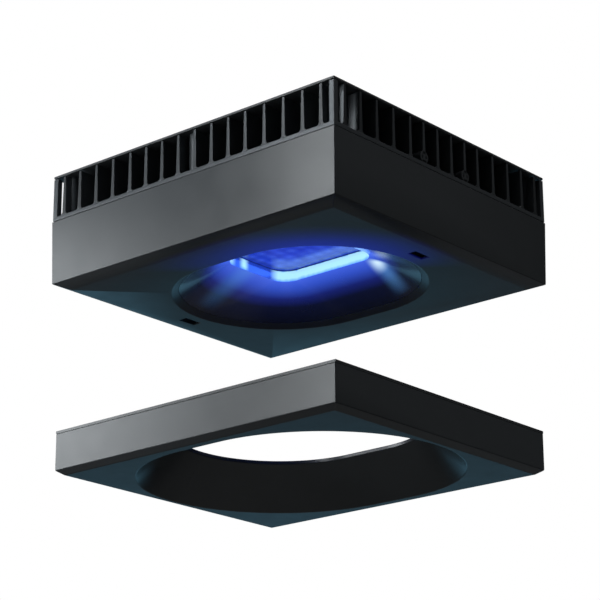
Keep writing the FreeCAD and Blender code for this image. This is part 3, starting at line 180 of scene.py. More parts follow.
class Recipe:
    """One material: its node tree, and the single method that adds nodes to it."""

    def __init__(self, name: str) -> None:
        """Start a material with its shader.

        Args:
            name: The finish's name.
        """
        self.material = bpy.data.materials.new(name)
        self.material.use_nodes = True
        self.tree = self.material.node_tree
        self.shader = next(n for n in self.tree.nodes if n.type == "BSDF_PRINCIPLED")

    def feed(self, socket: bpy.types.NodeSocket, value: Value) -> None:
        """Link a term to a socket, or set the socket's own value.

        Args:
            socket: The input socket.
            value: What it is to hold.
        """
        if isinstance(value, Term):
            self.tree.links.new(value.socket, socket)
        else:
            socket.default_value = value

    def add(self, kind: str, settings: dict | None = None, inputs: dict | None = None,
            output: int | str = 0) -> Term:
        """Add one node.

        Args:
            kind: The node's type.
            settings: Its own settings; stops sets the stops of a ramp.
            inputs: Values or terms for its sockets.
            output: The socket that the result reads.

        Returns:
            The chosen output as a term.
        """
        node = self.tree.nodes.new(kind)
        for name, value in (settings or {}).items():
            if name == "stops":
                elements = node.color_ramp.elements
                while len(elements) < len(value):
                    elements.new(1.0)
                for element, (place, colour) in zip(elements, value):
                    element.position, element.color = place, colour4(colour)
            else:
                setattr(node, name, value)
        for name, value in (inputs or {}).items():
            self.feed(node.inputs[name], value)
        return Term(self, node.outputs[output])

    def place(self, stretch: Colour = EVEN) -> Term:
        """Object coordinates, stretched along each axis."""
        spot = self.add("ShaderNodeTexCoord", output="Object")
        return self.add("ShaderNodeMapping", {}, {"Vector": spot, "Scale": stretch})

    def noise(self, scale: float, detail: float = 2.0, stretch: Colour = EVEN) -> Term:
        """Soft noise from 0 to 1, with that many features a metre."""
        return self.add("ShaderNodeTexNoise", {},
                        {"Vector": self.place(stretch), "Scale": scale, "Detail": detail})

    def ramp(self, value: Value, stops: list[tuple[float, Colour]]) -> Term:
        """A colour ramp over a value."""
        return self.add("ShaderNodeValToRGB", {"stops": stops}, {"Fac": value})

    def blend(self, amount: Value, first: Value, second: Value) -> Term:
        """Two colours mixed by an amount."""
        pair = [v if isinstance(v, Term) else colour4(v) for v in (first, second)]
        return self.add("ShaderNodeMix", {"data_type": "RGBA"}, {0: amount, 6: pair[0], 7: pair[1]}, 2)

    def axis(self, letter: str) -> Term:
        """One of the object coordinates, in metres."""
        return self.add("ShaderNodeSeparateXYZ", {}, {0: self.place()}, letter)

    def span(self, value: Value, low: float, high: float, start: float = 0.0, end: float = 1.0) -> Term:
        """A value's range laid over another range and kept inside it."""
        return self.add("ShaderNodeMapRange", {}, {"Value": value, "From Min": low, "From Max": high,
                                                   "To Min": start, "To Max": end})

    def reach(self, across: Value, along: Value) -> Term:
        """The length of two measures at right angles to each other."""
        joined = self.add("ShaderNodeCombineXYZ", {}, {"X": across, "Y": along})
        return self.add("ShaderNodeVectorMath", {"operation": "LENGTH"}, {0: joined}, "Value")

    def hump(self, value: Term, middle: float, width: float) -> Term:
        """One where a value is at its middle, fading softly to zero over a width on each side."""
        return self.add("ShaderNodeMapRange", {"interpolation_type": "SMOOTHSTEP"}, {
            "Value": (value - middle).size(), "From Min": width, "From Max": 0.0})

    def bump(self, height: Value, depth: float) -> Term:
        """Relief of a depth in metres."""
        return self.add("ShaderNodeBump", {}, {"Height": height, "Strength": 1.0, "Distance": depth})

    def edges(self) -> Term:
        """One along outward edges, and zero on flat faces."""
        bend = self.add("ShaderNodeNewGeometry", output="Pointiness")
        return self.span(bend, RUBBED_FROM, RUBBED_TO)

    def set(self, **values: Value) -> None:
        """Feed the shader; an underscore stands for a space in a socket's name."""
        for name, value in values.items():
            self.feed(self.shader.inputs[name.replace("_", " ")], value)


@dataclass(frozen=True)
class Finish:
    """A surface with a cloudy tone, fine grain, an uneven gloss and edges that are rubbed."""

    name: str
    colour: Colour
    roughness: float
    metallic: float = 0.0
    tone: float = 0.25
    clouds: float = 45.0
    grain: float = 2200.0
    grain_depth: float = 0.012 * MM
    unevenness: float = 0.08
    worn: Colour | None = None
    stretch: Colour = EVEN

    def tint(self, recipe: Recipe) -> Term:
        """The colour over the surface.

        Args:
            recipe: The material in the making.

        Returns:
            A cloudy tone, lighter where edges are rubbed.
        """
        light = tuple(min(1.0, c * (1.0 + self.tone)) for c in self.colour)
        dark = tuple(c * (1.0 - self.tone) for c in self.colour)
        cloud = recipe.noise(self.clouds, 4.0, self.stretch)
        tinted = recipe.ramp(cloud, [(NOISE_LOW, dark), (NOISE_HIGH, light)])
        return tinted if self.worn is None else recipe.blend(recipe.edges(), tinted, self.worn)

    def relief(self, recipe: Recipe) -> Term:
        """The fine relief over the surface."""
        return recipe.bump(recipe.noise(self.grain, 3.0, self.stretch), self.grain_depth)

    def dress(self, recipe: Recipe) -> None:
        """Feed the recipe's shader.

        Args:
            recipe: The material in the making.
        """
        patches = recipe.noise(self.clouds * GLOSS_PATCHES, 3.0, self.stretch)
        half = self.unevenness / 2
        gloss = recipe.span(patches, NOISE_LOW, NOISE_HIGH, self.roughness - half, self.roughness + half)
        recipe.set(Base_Color=self.tint(recipe), Metallic=self.metallic, Normal=self.relief(recipe),
                   Roughness=gloss)

    def material(self) -> bpy.types.Material:
        """The finished material, made once and shared.

        Returns:
            The material of this finish's name.
        """
        made = bpy.data.materials.get(self.name)
        if made is None:
            recipe = Recipe(self.name)
            self.dress(recipe)
            made = recipe.material
        return made

    def coat(self, piece: bpy.types.Object) -> None:
        """Give a piece this finish in place of any other."""
        piece.data.materials.clear()
        piece.data.materials.append(self.material())


@dataclass(frozen=True)
class PaintedGlowSkirtFinish(Finish):
    """The skirt's satin moulding, with a painted blue glow of lens light on its underside, round the corner
    side of its opening.
    """

    spread: float = 34.0 * MM
    corner: Spot = (0.62, 0.78)
    corner_span: Spot = (34.0 * MM, 80.0 * MM)
    underside_span: Spot = (-68.73 * MM, -69.73 * MM)
    far: float = 100.0 * MM
    # colour of the painted blue glow on the underside by the opening's rim
    painted_spill: Colour = (0.002, 0.010, 0.27)

    def dress(self, recipe: Recipe) -> None:
        """Add a painted glow of blue light along the rim of the light opening, on its corner side only.

        Args:
            recipe: The material in the making.
        """
        super().dress(recipe)
        x, y = recipe.axis("X"), recipe.axis("Y")
        # painted glow: strongest at the opening's rim, fading outward, kept to its corner side and to the
        # flat underside
        past_straight = recipe.span(x.size(), STRAIGHT, STRAIGHT + self.far, 0.0, self.far)
        near = recipe.span(recipe.reach(past_straight, y) - MOUTH, 0.0, self.spread, 1.0, 0.0)
        corner_side = recipe.span(x * self.corner[0] - y * self.corner[1], *self.corner_span)
        below = recipe.span(recipe.axis("Z"), *self.underside_span)
        light = recipe.blend(near * near * corner_side * below, BLACK, self.painted_spill)
        recipe.set(Emission_Color=light, Emission_Strength=1.0)


@dataclass(frozen=True)
class BoardFinish(Finish):
    """A circuit board: solder mask over copper tracks."""

    track: Colour = (0.05, 0.22, 0.09)
    track_tall: float = 0.03 * MM
    pitch: float = 340.0
    gap: float = 0.09
    gap_blur: float = 0.3
    fields: float = 140.0
    bare: float = 0.47

    def tracks(self, recipe: Recipe) -> Term:
        """The mask's pattern of copper.

        Args:
            recipe: The material in the making.

        Returns:
            One on the copper tracks under the mask.
        """
        cells = recipe.add("ShaderNodeTexBrick", {"offset": 0.5}, {
            "Vector": recipe.place(), "Scale": self.pitch, "Mortar Size": self.gap,
            "Mortar Smooth": self.gap_blur}, "Fac")
        return cells * recipe.noise(self.fields, 1.0).over(self.bare)

    def tint(self, recipe: Recipe) -> Term:
        """Mask colour, lighter over the tracks."""
        return recipe.blend(self.tracks(recipe), self.colour, self.track)

    def relief(self, recipe: Recipe) -> Term:
        """Tracks stand up a little under the mask."""
        return recipe.bump(self.tracks(recipe), self.track_tall)


@dataclass(frozen=True)
class WindingFinish(Finish):
    """Enamelled copper wire wound in rings."""

    turns: float = 1700.0
    wobble: float = 0.4
    ridge: float = 0.15 * MM

    def relief(self, recipe: Recipe) -> Term:
        """Rounded ridges, one for each turn of wire."""
        rings = recipe.add("ShaderNodeTexWave", {"bands_direction": "Z"}, {
            "Vector": recipe.place(), "Scale": self.turns, "Distortion": self.wobble}, "Fac")
        return recipe.bump(rings, self.ridge)


@dataclass(frozen=True)
class PaintedLightBowlFinish(Finish):
    """The glossy bowl, with painted light as emission: a painted blue glow down it from the lens window,
    painted streaks of reflected light running out in a few places, and a painted highlight.
    """

    neck_z: float = -51.0 * MM
    mouth_z: float = -67.3 * MM
    window: Spot = (36.0 * MM, 27.0 * MM)
    # painted light: a painted blue glow that fades down the bowl, the colour of painted streaks of reflected
    # light, and a painted white highlight
    painted_spill: tuple[tuple[float, Colour], ...] = (
        (0.0, (0.05, 0.12, 0.76)), (0.18, (0.028, 0.075, 0.54)), (0.42, (0.006, 0.012, 0.14)),
        (0.62, (0.001, 0.002, 0.016)), (1.0, (0.0, 0.0, 0.002)))
    streak: Colour = (0.10, 0.32, 0.75)
    painted_highlight: Colour = (0.72, 0.94, 1.1)
    within: float = 2.0 * MM
    beyond: float = 1.0 * MM
    side_middle: float = 36.5 * MM
    side_wide: float = 11.0 * MM
    side_strength: float = 0.85
    end_middle: float = -6.0 * MM
    end_wide: float = 12.0 * MM
    end_strength: float = 0.3
    fade_depth: float = 0.95
    painted_highlight_depth: Spot = (0.15, 0.27)
    lacquer: float = 0.35
    lacquer_roughness: float = 0.12

    def painted_side_streak(self, recipe: Recipe) -> Term:
        """One on the painted streak of reflected light that runs out past a corner of the window's long side.
        """
        past = recipe.span(recipe.axis("Y"), self.window[1] - self.within, self.window[1] + self.beyond)
        return recipe.hump(recipe.axis("X"), self.side_middle, self.side_wide) * past

    def painted_end_streak(self, recipe: Recipe) -> Term:
        """One on the broad, weak painted streak of reflected light that runs out past the window's end."""
        past = recipe.span(recipe.axis("X"), self.within - self.window[0], -self.beyond - self.window[0])
        return recipe.hump(recipe.axis("Y"), self.end_middle, self.end_wide) * past

    def dress(self, recipe: Recipe) -> None:
        """Add a lacquer, and the painted glow, streaks and highlight as emission over the dark body colour.

        Args:
            recipe: The material in the making.
        """
        super().dress(recipe)
        depth = recipe.span(recipe.axis("Z"), self.neck_z, self.mouth_z)
        fading = recipe.span(depth, 0.0, self.fade_depth, 1.0, 0.0)
        side = self.painted_side_streak(recipe)
        # painted glow fading with depth, with the painted streaks and the painted highlight laid over it
        light = recipe.ramp(depth, list(self.painted_spill))
        light = recipe.blend(self.painted_end_streak(recipe) * fading * self.end_strength, light, self.streak)
        light = recipe.blend(side * fading * self.side_strength, light, self.streak)
        light = recipe.blend(side * recipe.hump(depth, *self.painted_highlight_depth), light, self.painted_highlight)
        recipe.set(Coat_Weight=self.lacquer, Coat_Roughness=self.lacquer_roughness,
                   Emission_Color=light, Emission_Strength=1.0)


@dataclass(frozen=True)
class GlowFinish(Finish):
    """A clear moulding that carries light from its inner end."""

    low: float = 0.0
    high: float = 1.0
    dim: Colour = (0.02, 0.06, 0.5)
    bright: Colour = (0.5, 0.9, 1.0)
    bright_span: Spot = (0.3, 0.9)
    strength: float = 1.0
    streaks: float = 260.0
    streak_stretch: Colour = (1.0, 1.0, 0.15)
    wander: float = 0.3

    def glow(self, recipe: Recipe) -> Term:
        """The light's colour over the surface.

        Args:
            recipe: The material in the making.

        Returns:
            Bright between dim ends, from the lower to the upper end.
        """
        uneven = recipe.noise(self.streaks, 2.0, self.streak_stretch) * self.wander - self.wander / 2
        start, end = self.bright_span
        return recipe.ramp(recipe.span(recipe.axis("Z"), self.low, self.high) + uneven,
                           [(0.0, self.dim), (start, self.bright), (end, self.bright), (1.0, self.dim)])

    def dress(self, recipe: Recipe) -> None:
        """Add the light to the clear body."""
        super().dress(recipe)
        recipe.set(Emission_Color=self.glow(recipe), Emission_Strength=self.strength)


@dataclass(frozen=True)
class GuideFinish(GlowFinish):
    """The light guide: bright along its two long walls and at one spot of its ends, blue between."""

    side_y: float = 21.0 * MM
    side_blur: float = 6.0 * MM
    spot_y: float = -8.0 * MM
    spot_wide: float = 5.0 * MM
    blue: Colour = (0.010, 0.035, 0.36)

    def glow(self, recipe: Recipe) -> Term:
        """Long walls in full light, ends dimmer with one spot each.

        Args:
            recipe: The material in the making.

        Returns:
            The light's colour over the wall.
        """
        y = recipe.axis("Y")
        walls = recipe.span(y.size(), self.side_y - self.side_blur, self.side_y)
        lit = walls + recipe.hump(y, self.spot_y, self.spot_wide)
        return recipe.blend(lit, self.blue, super().glow(recipe))


@dataclass(frozen=True)
class LensFinish(GlowFinish):
    """The lens: clear, with the cluster's light caught in it."""

    clear: float = 0.6
    index: float = 1.49
    cell: float = 125.0
    cell_blur: float = 0.8
    cell_scatter: float = 0.3
    cell_span: Spot = (0.05, 0.55)

    def glow(self, recipe: Recipe) -> Term:
        """Soft cells of light, one over each diode.

        Args:
            recipe: The material in the making.

        Returns:
            The light's colour over the lens.
        """
        cells = recipe.add("ShaderNodeTexVoronoi", {"feature": "SMOOTH_F1"}, {
            "Vector": recipe.place((1.0, 1.0, 0.0)), "Scale": self.cell, "Smoothness": self.cell_blur,
            "Randomness": self.cell_scatter})
        core, rim = self.cell_span
        return recipe.ramp(cells, [(core, self.bright), (rim, self.dim), (1.0, self.dim)])

    def dress(self, recipe: Recipe) -> None:
        """Let light through."""
        super().dress(recipe)
        recipe.set(Transmission_Weight=self.clear, IOR=self.index)


# ---------------------------------------------------------------- modelling

class Side(Enum):
    """The side of a block that a step works on, as the outward direction of its faces."""

    UP = (0.0, 0.0, 1.0)
    DOWN = (0.0, 0.0, -1.0)
    REAR = (0.0, 1.0, 0.0)

    def faces(self) -> Test:
        """A test for the faces that look this way."""
        outward = Vector(self.value)
        return lambda middle, normal: normal.dot(outward) > FACING


class Bench:
    """One piece on the bench, with the modelling steps that shape it."""

    def __init__(self, piece: bpy.types.Object) -> None:
        """Take a piece."""
        self.piece = piece

    @classmethod
    def fresh(cls, name: str) -> "Bench":
        """Take the primitive that was just added.

        Args:
            name: The piece's name.

        Returns:
            The bench, with the primitive's place and size in its mesh.
        """
        piece = bpy.context.object
        piece.name = piece.data.name = name
        bpy.ops.object.transform_apply(location=True, rotation=True, scale=True)
        return cls(piece)

    @staticmethod
    def clear() -> None:
        """Close any open mesh and leave nothing selected, so that a step acts on one piece only."""
        if bpy.context.mode != "OBJECT":
            bpy.ops.object.mode_set(mode="OBJECT")
        bpy.ops.object.select_all(action="DESELECT")

    @classmethod
    def block(cls, name: str, low: Vector | Place, high: Vector | Place) -> "Bench":
        """A block between two corners.

        Args:
            name: The piece's name.
            low: Its corner of least X, Y and Z.
            high: Its corner of most X, Y and Z.

        Returns:
            The bench with the block on it.
        """
        cls.clear()
        low, high = Vector(low), Vector(high)
        bpy.ops.mesh.primitive_cube_add(size=1.0, location=(low + high) / 2, scale=high - low)
        return cls.fresh(name)

    @classmethod
    def rod(cls, name: str, base: Place, radius: float, length: float, turn: Side = Side.UP,
            sides: int = 48) -> "Bench":
        """A round bar.

        Args:
            name: The piece's name.
            base: The middle of the end where it starts.
            radius: Its radius.
            length: Its length.
            turn: The way it runs, up or to the rear.
            sides: Flats round it.

        Returns:
            The bench with the bar on it.
        """
        cls.clear()
        along = Vector(turn.value)
        lie = (-math.pi / 2, 0.0, 0.0) if turn is Side.REAR else (0.0, 0.0, 0.0)
        bpy.ops.mesh.primitive_cylinder_add(vertices=sides, radius=radius, depth=length,
                                            location=Vector(base) + along * length / 2, rotation=lie)
        return cls.fresh(name)

    @classmethod
    def sheet(cls, name: str, half: Spot, corner: float, z: float, steps: int = 24) -> "Bench":
        """A flat sheet with round corners, centred on the Z axis.

        Args:
            name: The piece's name.
            half: Half its sizes along X and Y.
            corner: The radius of its corners.
            z: Its height.
            steps: Edges round each corner.

        Returns:
            The bench with the sheet on it.
        """
        cls.clear()
        bpy.ops.mesh.primitive_plane_add(size=1.0, location=(0, 0, z))
        bench = cls.fresh(name)
        bench.piece.data.transform(Matrix.Diagonal((2 * half[0], 2 * half[1], 1, 1)))
        bench.faces(every_face)
        bpy.ops.mesh.bevel(offset=corner, segments=steps, affect="VERTICES")
        return bench.leave()

    @classmethod
    def slab(cls, name: str, half: Spot, corner: float, low: float, high: float) -> "Bench":
        """An upright solid with round corners, between two heights."""
        bench = cls.sheet(name, half, corner, low)
        return bench.faces(every_face).extrude(z=high - low).leave()

    @classmethod
    def funnel(cls, name: str, low: tuple[Spot, float, float], high: tuple[Spot, float, float],
               closed: bool = True) -> "Bench":
        """A straight-sided funnel between two outlines with round corners.

        Args:
            name: The piece's name.
            low: Half sizes, corner radius and height of the lower outline.
            high: The same of the upper outline.
            closed: Close both ends, so that the funnel is a solid.

        Returns:
            The bench with the funnel on it.
        """
        bench = cls.sheet(name, *low)
        bench.join(cls.sheet("upper", *high))
        bench.faces(every_face)
        bpy.ops.mesh.bridge_edge_loops()
        bpy.ops.mesh.select_all(action="SELECT")
        bpy.ops.mesh.normals_make_consistent(inside=False)
        if not closed:
            bench.faces(level_face)
            bpy.ops.mesh.delete(type="FACE")
        return bench.leave()

    def pick(self) -> None:
        """Close this piece's mesh, and make the piece the only one that is selected."""
        self.leave()
        Bench.clear()
        self.piece.select_set(True)
        bpy.context.view_layer.objects.active = self.piece

    def enter(self) -> None:
        """Work on this piece's mesh."""
        bpy.context.view_layer.objects.active = self.piece
        if self.piece.mode != "EDIT":
            Bench.clear()
            self.piece.select_set(True)
            bpy.ops.object.mode_set(mode="EDIT")

    def leave(self) -> "Bench":
        """Stop working on the mesh.

        Returns:
            The bench, with the piece's mesh closed.
        """
        if self.piece.mode == "EDIT":
            bpy.ops.object.mode_set(mode="OBJECT")
        return self

    def faces(self, test: Test) -> "Bench":
        """Select faces.

        Args:
            test: What a face's middle and normal have to pass.

        Returns:
            The bench, with the piece's mesh open.
        """
        self.enter()
        bpy.ops.mesh.select_mode(type="FACE")
        bpy.ops.mesh.select_all(action="DESELECT")
        shape = bmesh.from_edit_mesh(self.piece.data)
        for face in shape.faces:
            face.select_set(test(face.calc_center_median(), face.normal))
        bmesh.update_edit_mesh(self.piece.data)
        return self

    def extrude(self, x: float = 0.0, y: float = 0.0, z: float = 0.0) -> "Bench":
        """Pull the selected faces out by a distance."""
        bpy.ops.mesh.extrude_region_move(TRANSFORM_OT_translate={"value": (x, y, z)})
        return self

    def resize(self, x: float = 1.0, y: float = 1.0, z: float = 1.0) -> "Bench":
        """Scale the selection about the Z axis."""
        bpy.ops.transform.resize(value=(x, y, z), center_override=(0.0, 0.0, 0.0))
        return self

    def draw_in(self, width: float, half_x: float, half_y: float) -> "Bench":
        """Narrow the selection, so that what stands at half_x and half_y moves in by a width."""
        return self.resize(1 - width / half_x, 1 - width / half_y)

    def inset(self, width: float) -> "Bench":
        """Draw the selected faces in by a width."""
        bpy.ops.mesh.inset(thickness=width)
        return self

    def pierce(self, width: float) -> "Bench":
        """Turn an upright solid into a ring.

        Args:
            width: The ring's wall.

        Returns:
            The bench with the ring on it, made by an inset of both ends and a bridge between them.
        """
        self.faces(level_face).inset(width)
        bpy.ops.mesh.bridge_edge_loops()
        return self.leave()

    def join(self, *others: "Bench") -> "Bench":
        """Take other pieces into this one.

        Args:
            others: The pieces, which are used up.

        Returns:
            The bench with the joined piece on it.
        """
        self.pick()
        for bench in others:
            bench.leave().piece.select_set(True)
        bpy.ops.object.join()
        return self

    def apply(self, kind: str, **settings: object) -> "Bench":
        """Add a modifier and apply it.

        Args:
            kind: The modifier's type.
            settings: Its own settings.

        Returns:
            The bench with the changed piece on it.
        """
        self.pick()
        modifier = self.piece.modifiers.new(kind.lower(), kind)
        for name, value in settings.items():
            setattr(modifier, name, value)
        bpy.ops.object.modifier_apply(modifier=modifier.name)
        return self

    def combine(self, operation: str, *tools: "Bench") -> "Bench":
        """Cut tools out of the piece, or grow them into it, and put the tools away.

        Args:
            operation: What the Boolean modifier does with each tool.
            tools: The tools, which are used up.

        Returns:
            The bench with the changed piece on it.
        """
        for tool in tools:
            tool.leave()
            self.apply("BOOLEAN", operation=operation, object=tool.piece, solver="EXACT")
            bpy.data.objects.remove(tool.piece)
        return self

    def repeat(self, moves: Iterable[Matrix]) -> "Bench":
        """Replace the piece by copies of it at other places, joined into one.

        Args:
            moves: The place of each copy.

        Returns:
            The bench with the row of copies on it.
        """
        made = []
        for move in moves:
            twin = self.piece.copy()
            twin.data = self.piece.data.copy()
            twin.data.transform(move)
            bpy.context.scene.collection.objects.link(twin)
            made.append(Bench(twin))
        bpy.data.objects.remove(self.piece)
        return made[0].join(*made[1:])

    def round_edges(self, width: float, steps: int = 2, angle: float = 28.0) -> "Bench":
        """Round every edge sharper than an angle, in degrees."""
        return self.apply("BEVEL", width=width, segments=steps, limit_method="ANGLE",
                          angle_limit=math.radians(angle), harden_normals=False)

    def finish(self, body: str, slot: str, finish: Finish, *nodes: str, smooth: float = 32.0) -> None:
        """Shade the piece, dress it and hang it on its body.

        Args:
            body: The body that it rides on.
            slot: Not used.
            finish: Its finish.
            nodes: The frame's nodes that it stands for.
            smooth: Edges flatter than this, in degrees, are shaded smooth.
        """
        self.pick()
        bpy.ops.object.shade_smooth_by_angle(angle=math.radians(smooth))
        self.apply("WEIGHTED_NORMAL", keep_sharp=True, weight=NORMAL_WEIGHT)
        finish.coat(self.piece)
        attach(self.piece, body)
        if nodes:
            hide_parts(*nodes)
        LOG.info("%s: %d faces on %s", self.piece.name, len(self.piece.data.polygons), body)


# ---------------------------------------------------------------- finishes

HOUSING = PaintedGlowSkirtFinish("satin_skirt", (0.016, 0.019, 0.021), 0.30, tone=0.12, clouds=30.0, grain=2600.0,
                      grain_depth=0.010 * MM, unevenness=0.05, worn=(0.05, 0.055, 0.06))
SHADE = Finish("satin_shade", (0.016, 0.018, 0.020), 0.30, tone=0.12, clouds=34.0, grain=2600.0,
               grain_depth=0.010 * MM, unevenness=0.05, worn=(0.05, 0.055, 0.06))
HEATSINK = Finish("cast_heatsink", (0.030, 0.033, 0.036), 0.38, metallic=0.35, tone=0.2, grain=1500.0,
                  grain_depth=0.02 * MM, worn=(0.10, 0.11, 0.12))
COVER = Finish("coated_cover", (0.020, 0.022, 0.024), 0.42, tone=0.15, grain=3200.0, worn=(0.06, 0.065, 0.07))
BOWL = PaintedLightBowlFinish("glossy_bowl", (0.008, 0.012, 0.022), 0.25, tone=0.1, clouds=20.0, grain=900.0,
                  grain_depth=0.002 * MM, unevenness=0.06)
SEAL = Finish("seal_rubber", (0.01, 0.01, 0.011), 0.7, tone=0.2, grain=1200.0)
STEEL = Finish("screw_steel", (0.50, 0.50, 0.49), 0.30, metallic=1.0, tone=0.12, clouds=300.0, grain=4000.0,
               stretch=(1.0, 1.0, 0.2))
STATUS = GlowFinish("status_pipe", (0.25, 0.50, 0.32), 0.22, low=-0.0524, high=-0.0476,
                    dim=(0.01, 0.10, 0.03), bright=(0.05, 0.60, 0.20))
BLACK_SCREW = Finish("black_steel", (0.035, 0.035, 0.038), 0.33, metallic=0.85, tone=0.2, clouds=300.0)
BRASS = Finish("insert_brass", (0.62, 0.42, 0.16), 0.27, metallic=1.0, tone=0.15, clouds=260.0)
COPPER = WindingFinish("wound_copper", (0.55, 0.20, 0.08), 0.28, metallic=1.0, tone=0.2, clouds=200.0)
BRONZE = Finish("sintered_bronze", (0.42, 0.25, 0.12), 0.5, metallic=1.0, grain=3500.0, grain_depth=0.03 * MM)
MAGNET = Finish("magnet_ferrite", (0.045, 0.042, 0.04), 0.6, metallic=0.2, grain=2500.0)
FAN = Finish("fan_plastic", (0.016, 0.016, 0.018), 0.42, grain=1700.0, worn=(0.04, 0.04, 0.045))
PLUG = Finish("plug_nylon", (0.72, 0.69, 0.60), 0.45, tone=0.06)
INLET = Finish("inlet_plastic", (0.014, 0.014, 0.015), 0.35, grain=1500.0, worn=(0.05, 0.05, 0.05))
BUTTON = Finish("button_cap", (0.05, 0.052, 0.055), 0.48, grain=2200.0, worn=(0.10, 0.10, 0.11))
SWITCH = Finish("switch_case", (0.03, 0.03, 0.033), 0.4, grain=1800.0)
PAD = Finish("thermal_pad", (0.20, 0.22, 0.26), 0.75, tone=0.12, clouds=160.0, grain=1400.0)
COIL = Finish("coil_ferrite", (0.07, 0.068, 0.066), 0.55, grain=1400.0, grain_depth=0.03 * MM)
CAPACITOR = Finish("capacitor_can", (0.55, 0.56, 0.58), 0.24, metallic=1.0, stretch=(1.0, 1.0, 0.1))
SHIELD = Finish("module_shield", (0.62, 0.62, 0.60), 0.32, metallic=1.0, tone=0.08, clouds=180.0)
GREEN_BOARD = BoardFinish("control_board", (0.012, 0.11, 0.045), 0.32)
WHITE_BOARD = BoardFinish("light_board", (0.62, 0.64, 0.66), 0.35, track=(0.50, 0.50, 0.46), pitch=240.0)
HOLDER = Finish("lens_holder", (0.03, 0.032, 0.036), 0.4, grain=1600.0)

NODE_FINISHES: dict[Finish, tuple[str, ...]] = {
    SEAL: ("housing_seal", "lens_gasket"),
    STEEL: ("bowl_screws", "lens_screws", "housing_screws", "board_screws", "board_standoffs", "fan_shaft",
            "inlet_nut", "button_board_screws"),
    BLACK_SCREW: ("cover_screws", "fan_screws", "shade_screws"),
    BRASS: ("hanger_inserts",),
    BRONZE: ("fan_bearing",),
    COPPER: ("fan_stator",),
    MAGNET: ("fan_magnet",),
    FAN: ("fan_frame", "fan_rotor"),
    PLUG: ("led_plug", "board_plugs"),
    INLET: ("power_inlet",),
    BUTTON: ("pair_button", "switch_plunger"),
    SWITCH: ("switch_case", "button_posts"),
    PAD: ("thermal_pad",),
    COIL: ("driver_coils",),
    CAPACITOR: ("driver_capacitors",),
    SHIELD: ("wireless_module",),
    GREEN_BOARD: ("control_board", "button_board"),
    WHITE_BOARD: ("led_board",),
    HOLDER: ("lens_holder",),
    SHADE: ("shade_clip_right", "shade_clip_left", "shade_top"),
    STATUS: ("status_light",),
}


def dress_nodes(nodes: dict[str, bpy.types.Object]) -> None:
    """Give every node of the frame that stays its finish.

    Args:
        nodes: The frame's nodes by name.
    """
    for finish, names in NODE_FINISHES.items():
        for name in names:
            finish.coat(nodes[name])
            LOG.info("%s: dressed as %s", name, finish.name)


# ---------------------------------------------------------------- lamp

STADIUM_CORNER = 0.9995  # corner radius for each end radius, so that no straight end is lost
CORNER_SCREWS = mirrored([(99.0 * MM, 88.0 * MM)])
EDGE_SCREWS = [(99.0 * MM, 0.0), (-99.0 * MM, 0.0), (0.0, 88.0 * MM), (0.0, -88.0 * MM)]
FAN_SCREWS = mirrored([(41.25 * MM, 41.25 * MM)])
HANGERS = mirrored([(90.0 * MM, 75.0 * MM)])


def stadium(radius: float) -> tuple[Spot, float]:
    """Half sizes and corner radius of an outline with round ends, from its end radius."""
    return (STRAIGHT + radius, radius), radius * STADIUM_CORNER


@dataclass
class LowerHousing:
    """The moulded skirt with its sloping band, light opening, clip slots and rear panel holes."""

    draft: float = 0.79 * MM
    band_tall: float = 3.33 * MM
    band_wide: float = 8.1 * MM
    wall: float = 2.5 * MM
    inner_lean: float = 0.8 * MM
    knee_tall: float = 4.3 * MM
    knee_wide: float = 4.2 * MM
    floor: float = 2.6 * MM
    lip: float = 4.3 * MM
    slot_size: Spot = (5.7 * MM, 12.3 * MM)
    slot_out: float = 87.3 * MM
    rounding: float = 0.55 * MM
    panel_y: float = 90.0 * MM
    panel_z: float = -50.0 * MM
    panel_deep: float = 10.0 * MM
    panel_holes: tuple[Spot, ...] = ((-80.0 * MM, 5.7 * MM), (-60.0 * MM, 3.4 * MM), (-52.0 * MM, 1.7 * MM))

    def shell(self, low: Vector, high: Vector) -> Bench:
        """The open tray: leaning walls, sloping band and floor, hollowed from above.

        Args:
            low: The housing's corner of least X, Y and Z.
            high: Its corner of most X, Y and Z.

        Returns:
            The bench with the tray on it.
        """
        bench = Bench.block("lower_skirt", (low.x, low.y, low.z + self.band_tall), high)
        bench.faces(Side.DOWN.faces()).draw_in(self.draft, high.x, high.y)
        bench.extrude(z=-self.band_tall).draw_in(self.band_wide, high.x - self.draft, high.y - self.draft)
        bench.faces(Side.UP.faces()).inset(self.wall)
        deep = high.z - low.z - self.floor
        bench.extrude(z=self.knee_tall - deep).draw_in(self.inner_lean, high.x, high.y)
        bench.extrude(z=-self.knee_tall).draw_in(self.knee_wide, high.x, high.y)
        return bench.leave()

    def openings(self, low: Vector) -> list[Bench]:
        """The tools for the light opening, the clip slots and the holes of the rear panel.

        Args:
            low: The housing's corner of least X, Y and Z.

        Returns:
            The tools to cut with.
        """
        under, over = low.z - PAST, low.z + self.floor + PAST
        widening = PAST * self.lip / self.floor
        tools = [Bench.funnel("mouth", (*stadium(MOUTH + widening), under),
                              (*stadium(MOUTH - self.lip - widening), over))]
        half_x, half_y = self.slot_size[0] / 2, self.slot_size[1] / 2
        for side in (1, -1):
            middle = side * self.slot_out
            tools.append(Bench.block("slot", (middle - half_x, -half_y, under),
                                     (middle + half_x, half_y, over)))
        for x, radius in self.panel_holes:
            spot = (x, self.panel_y, self.panel_z)
            tools.append(Bench.rod("hole", spot, radius, self.panel_deep, Side.REAR))
        return tools

    def build(self) -> None:
        """Make the skirt and hang it on the lamp."""
        low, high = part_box("lower_housing")
        bench = self.shell(low, high)
        bench.combine("DIFFERENCE", *self.openings(low))
        bench.round_edges(self.rounding, SOFT_STEPS, SOFT_ANGLE)
        bench.finish("lamp", "housing", HOUSING, "lower_housing", smooth=SHELL_SMOOTH)


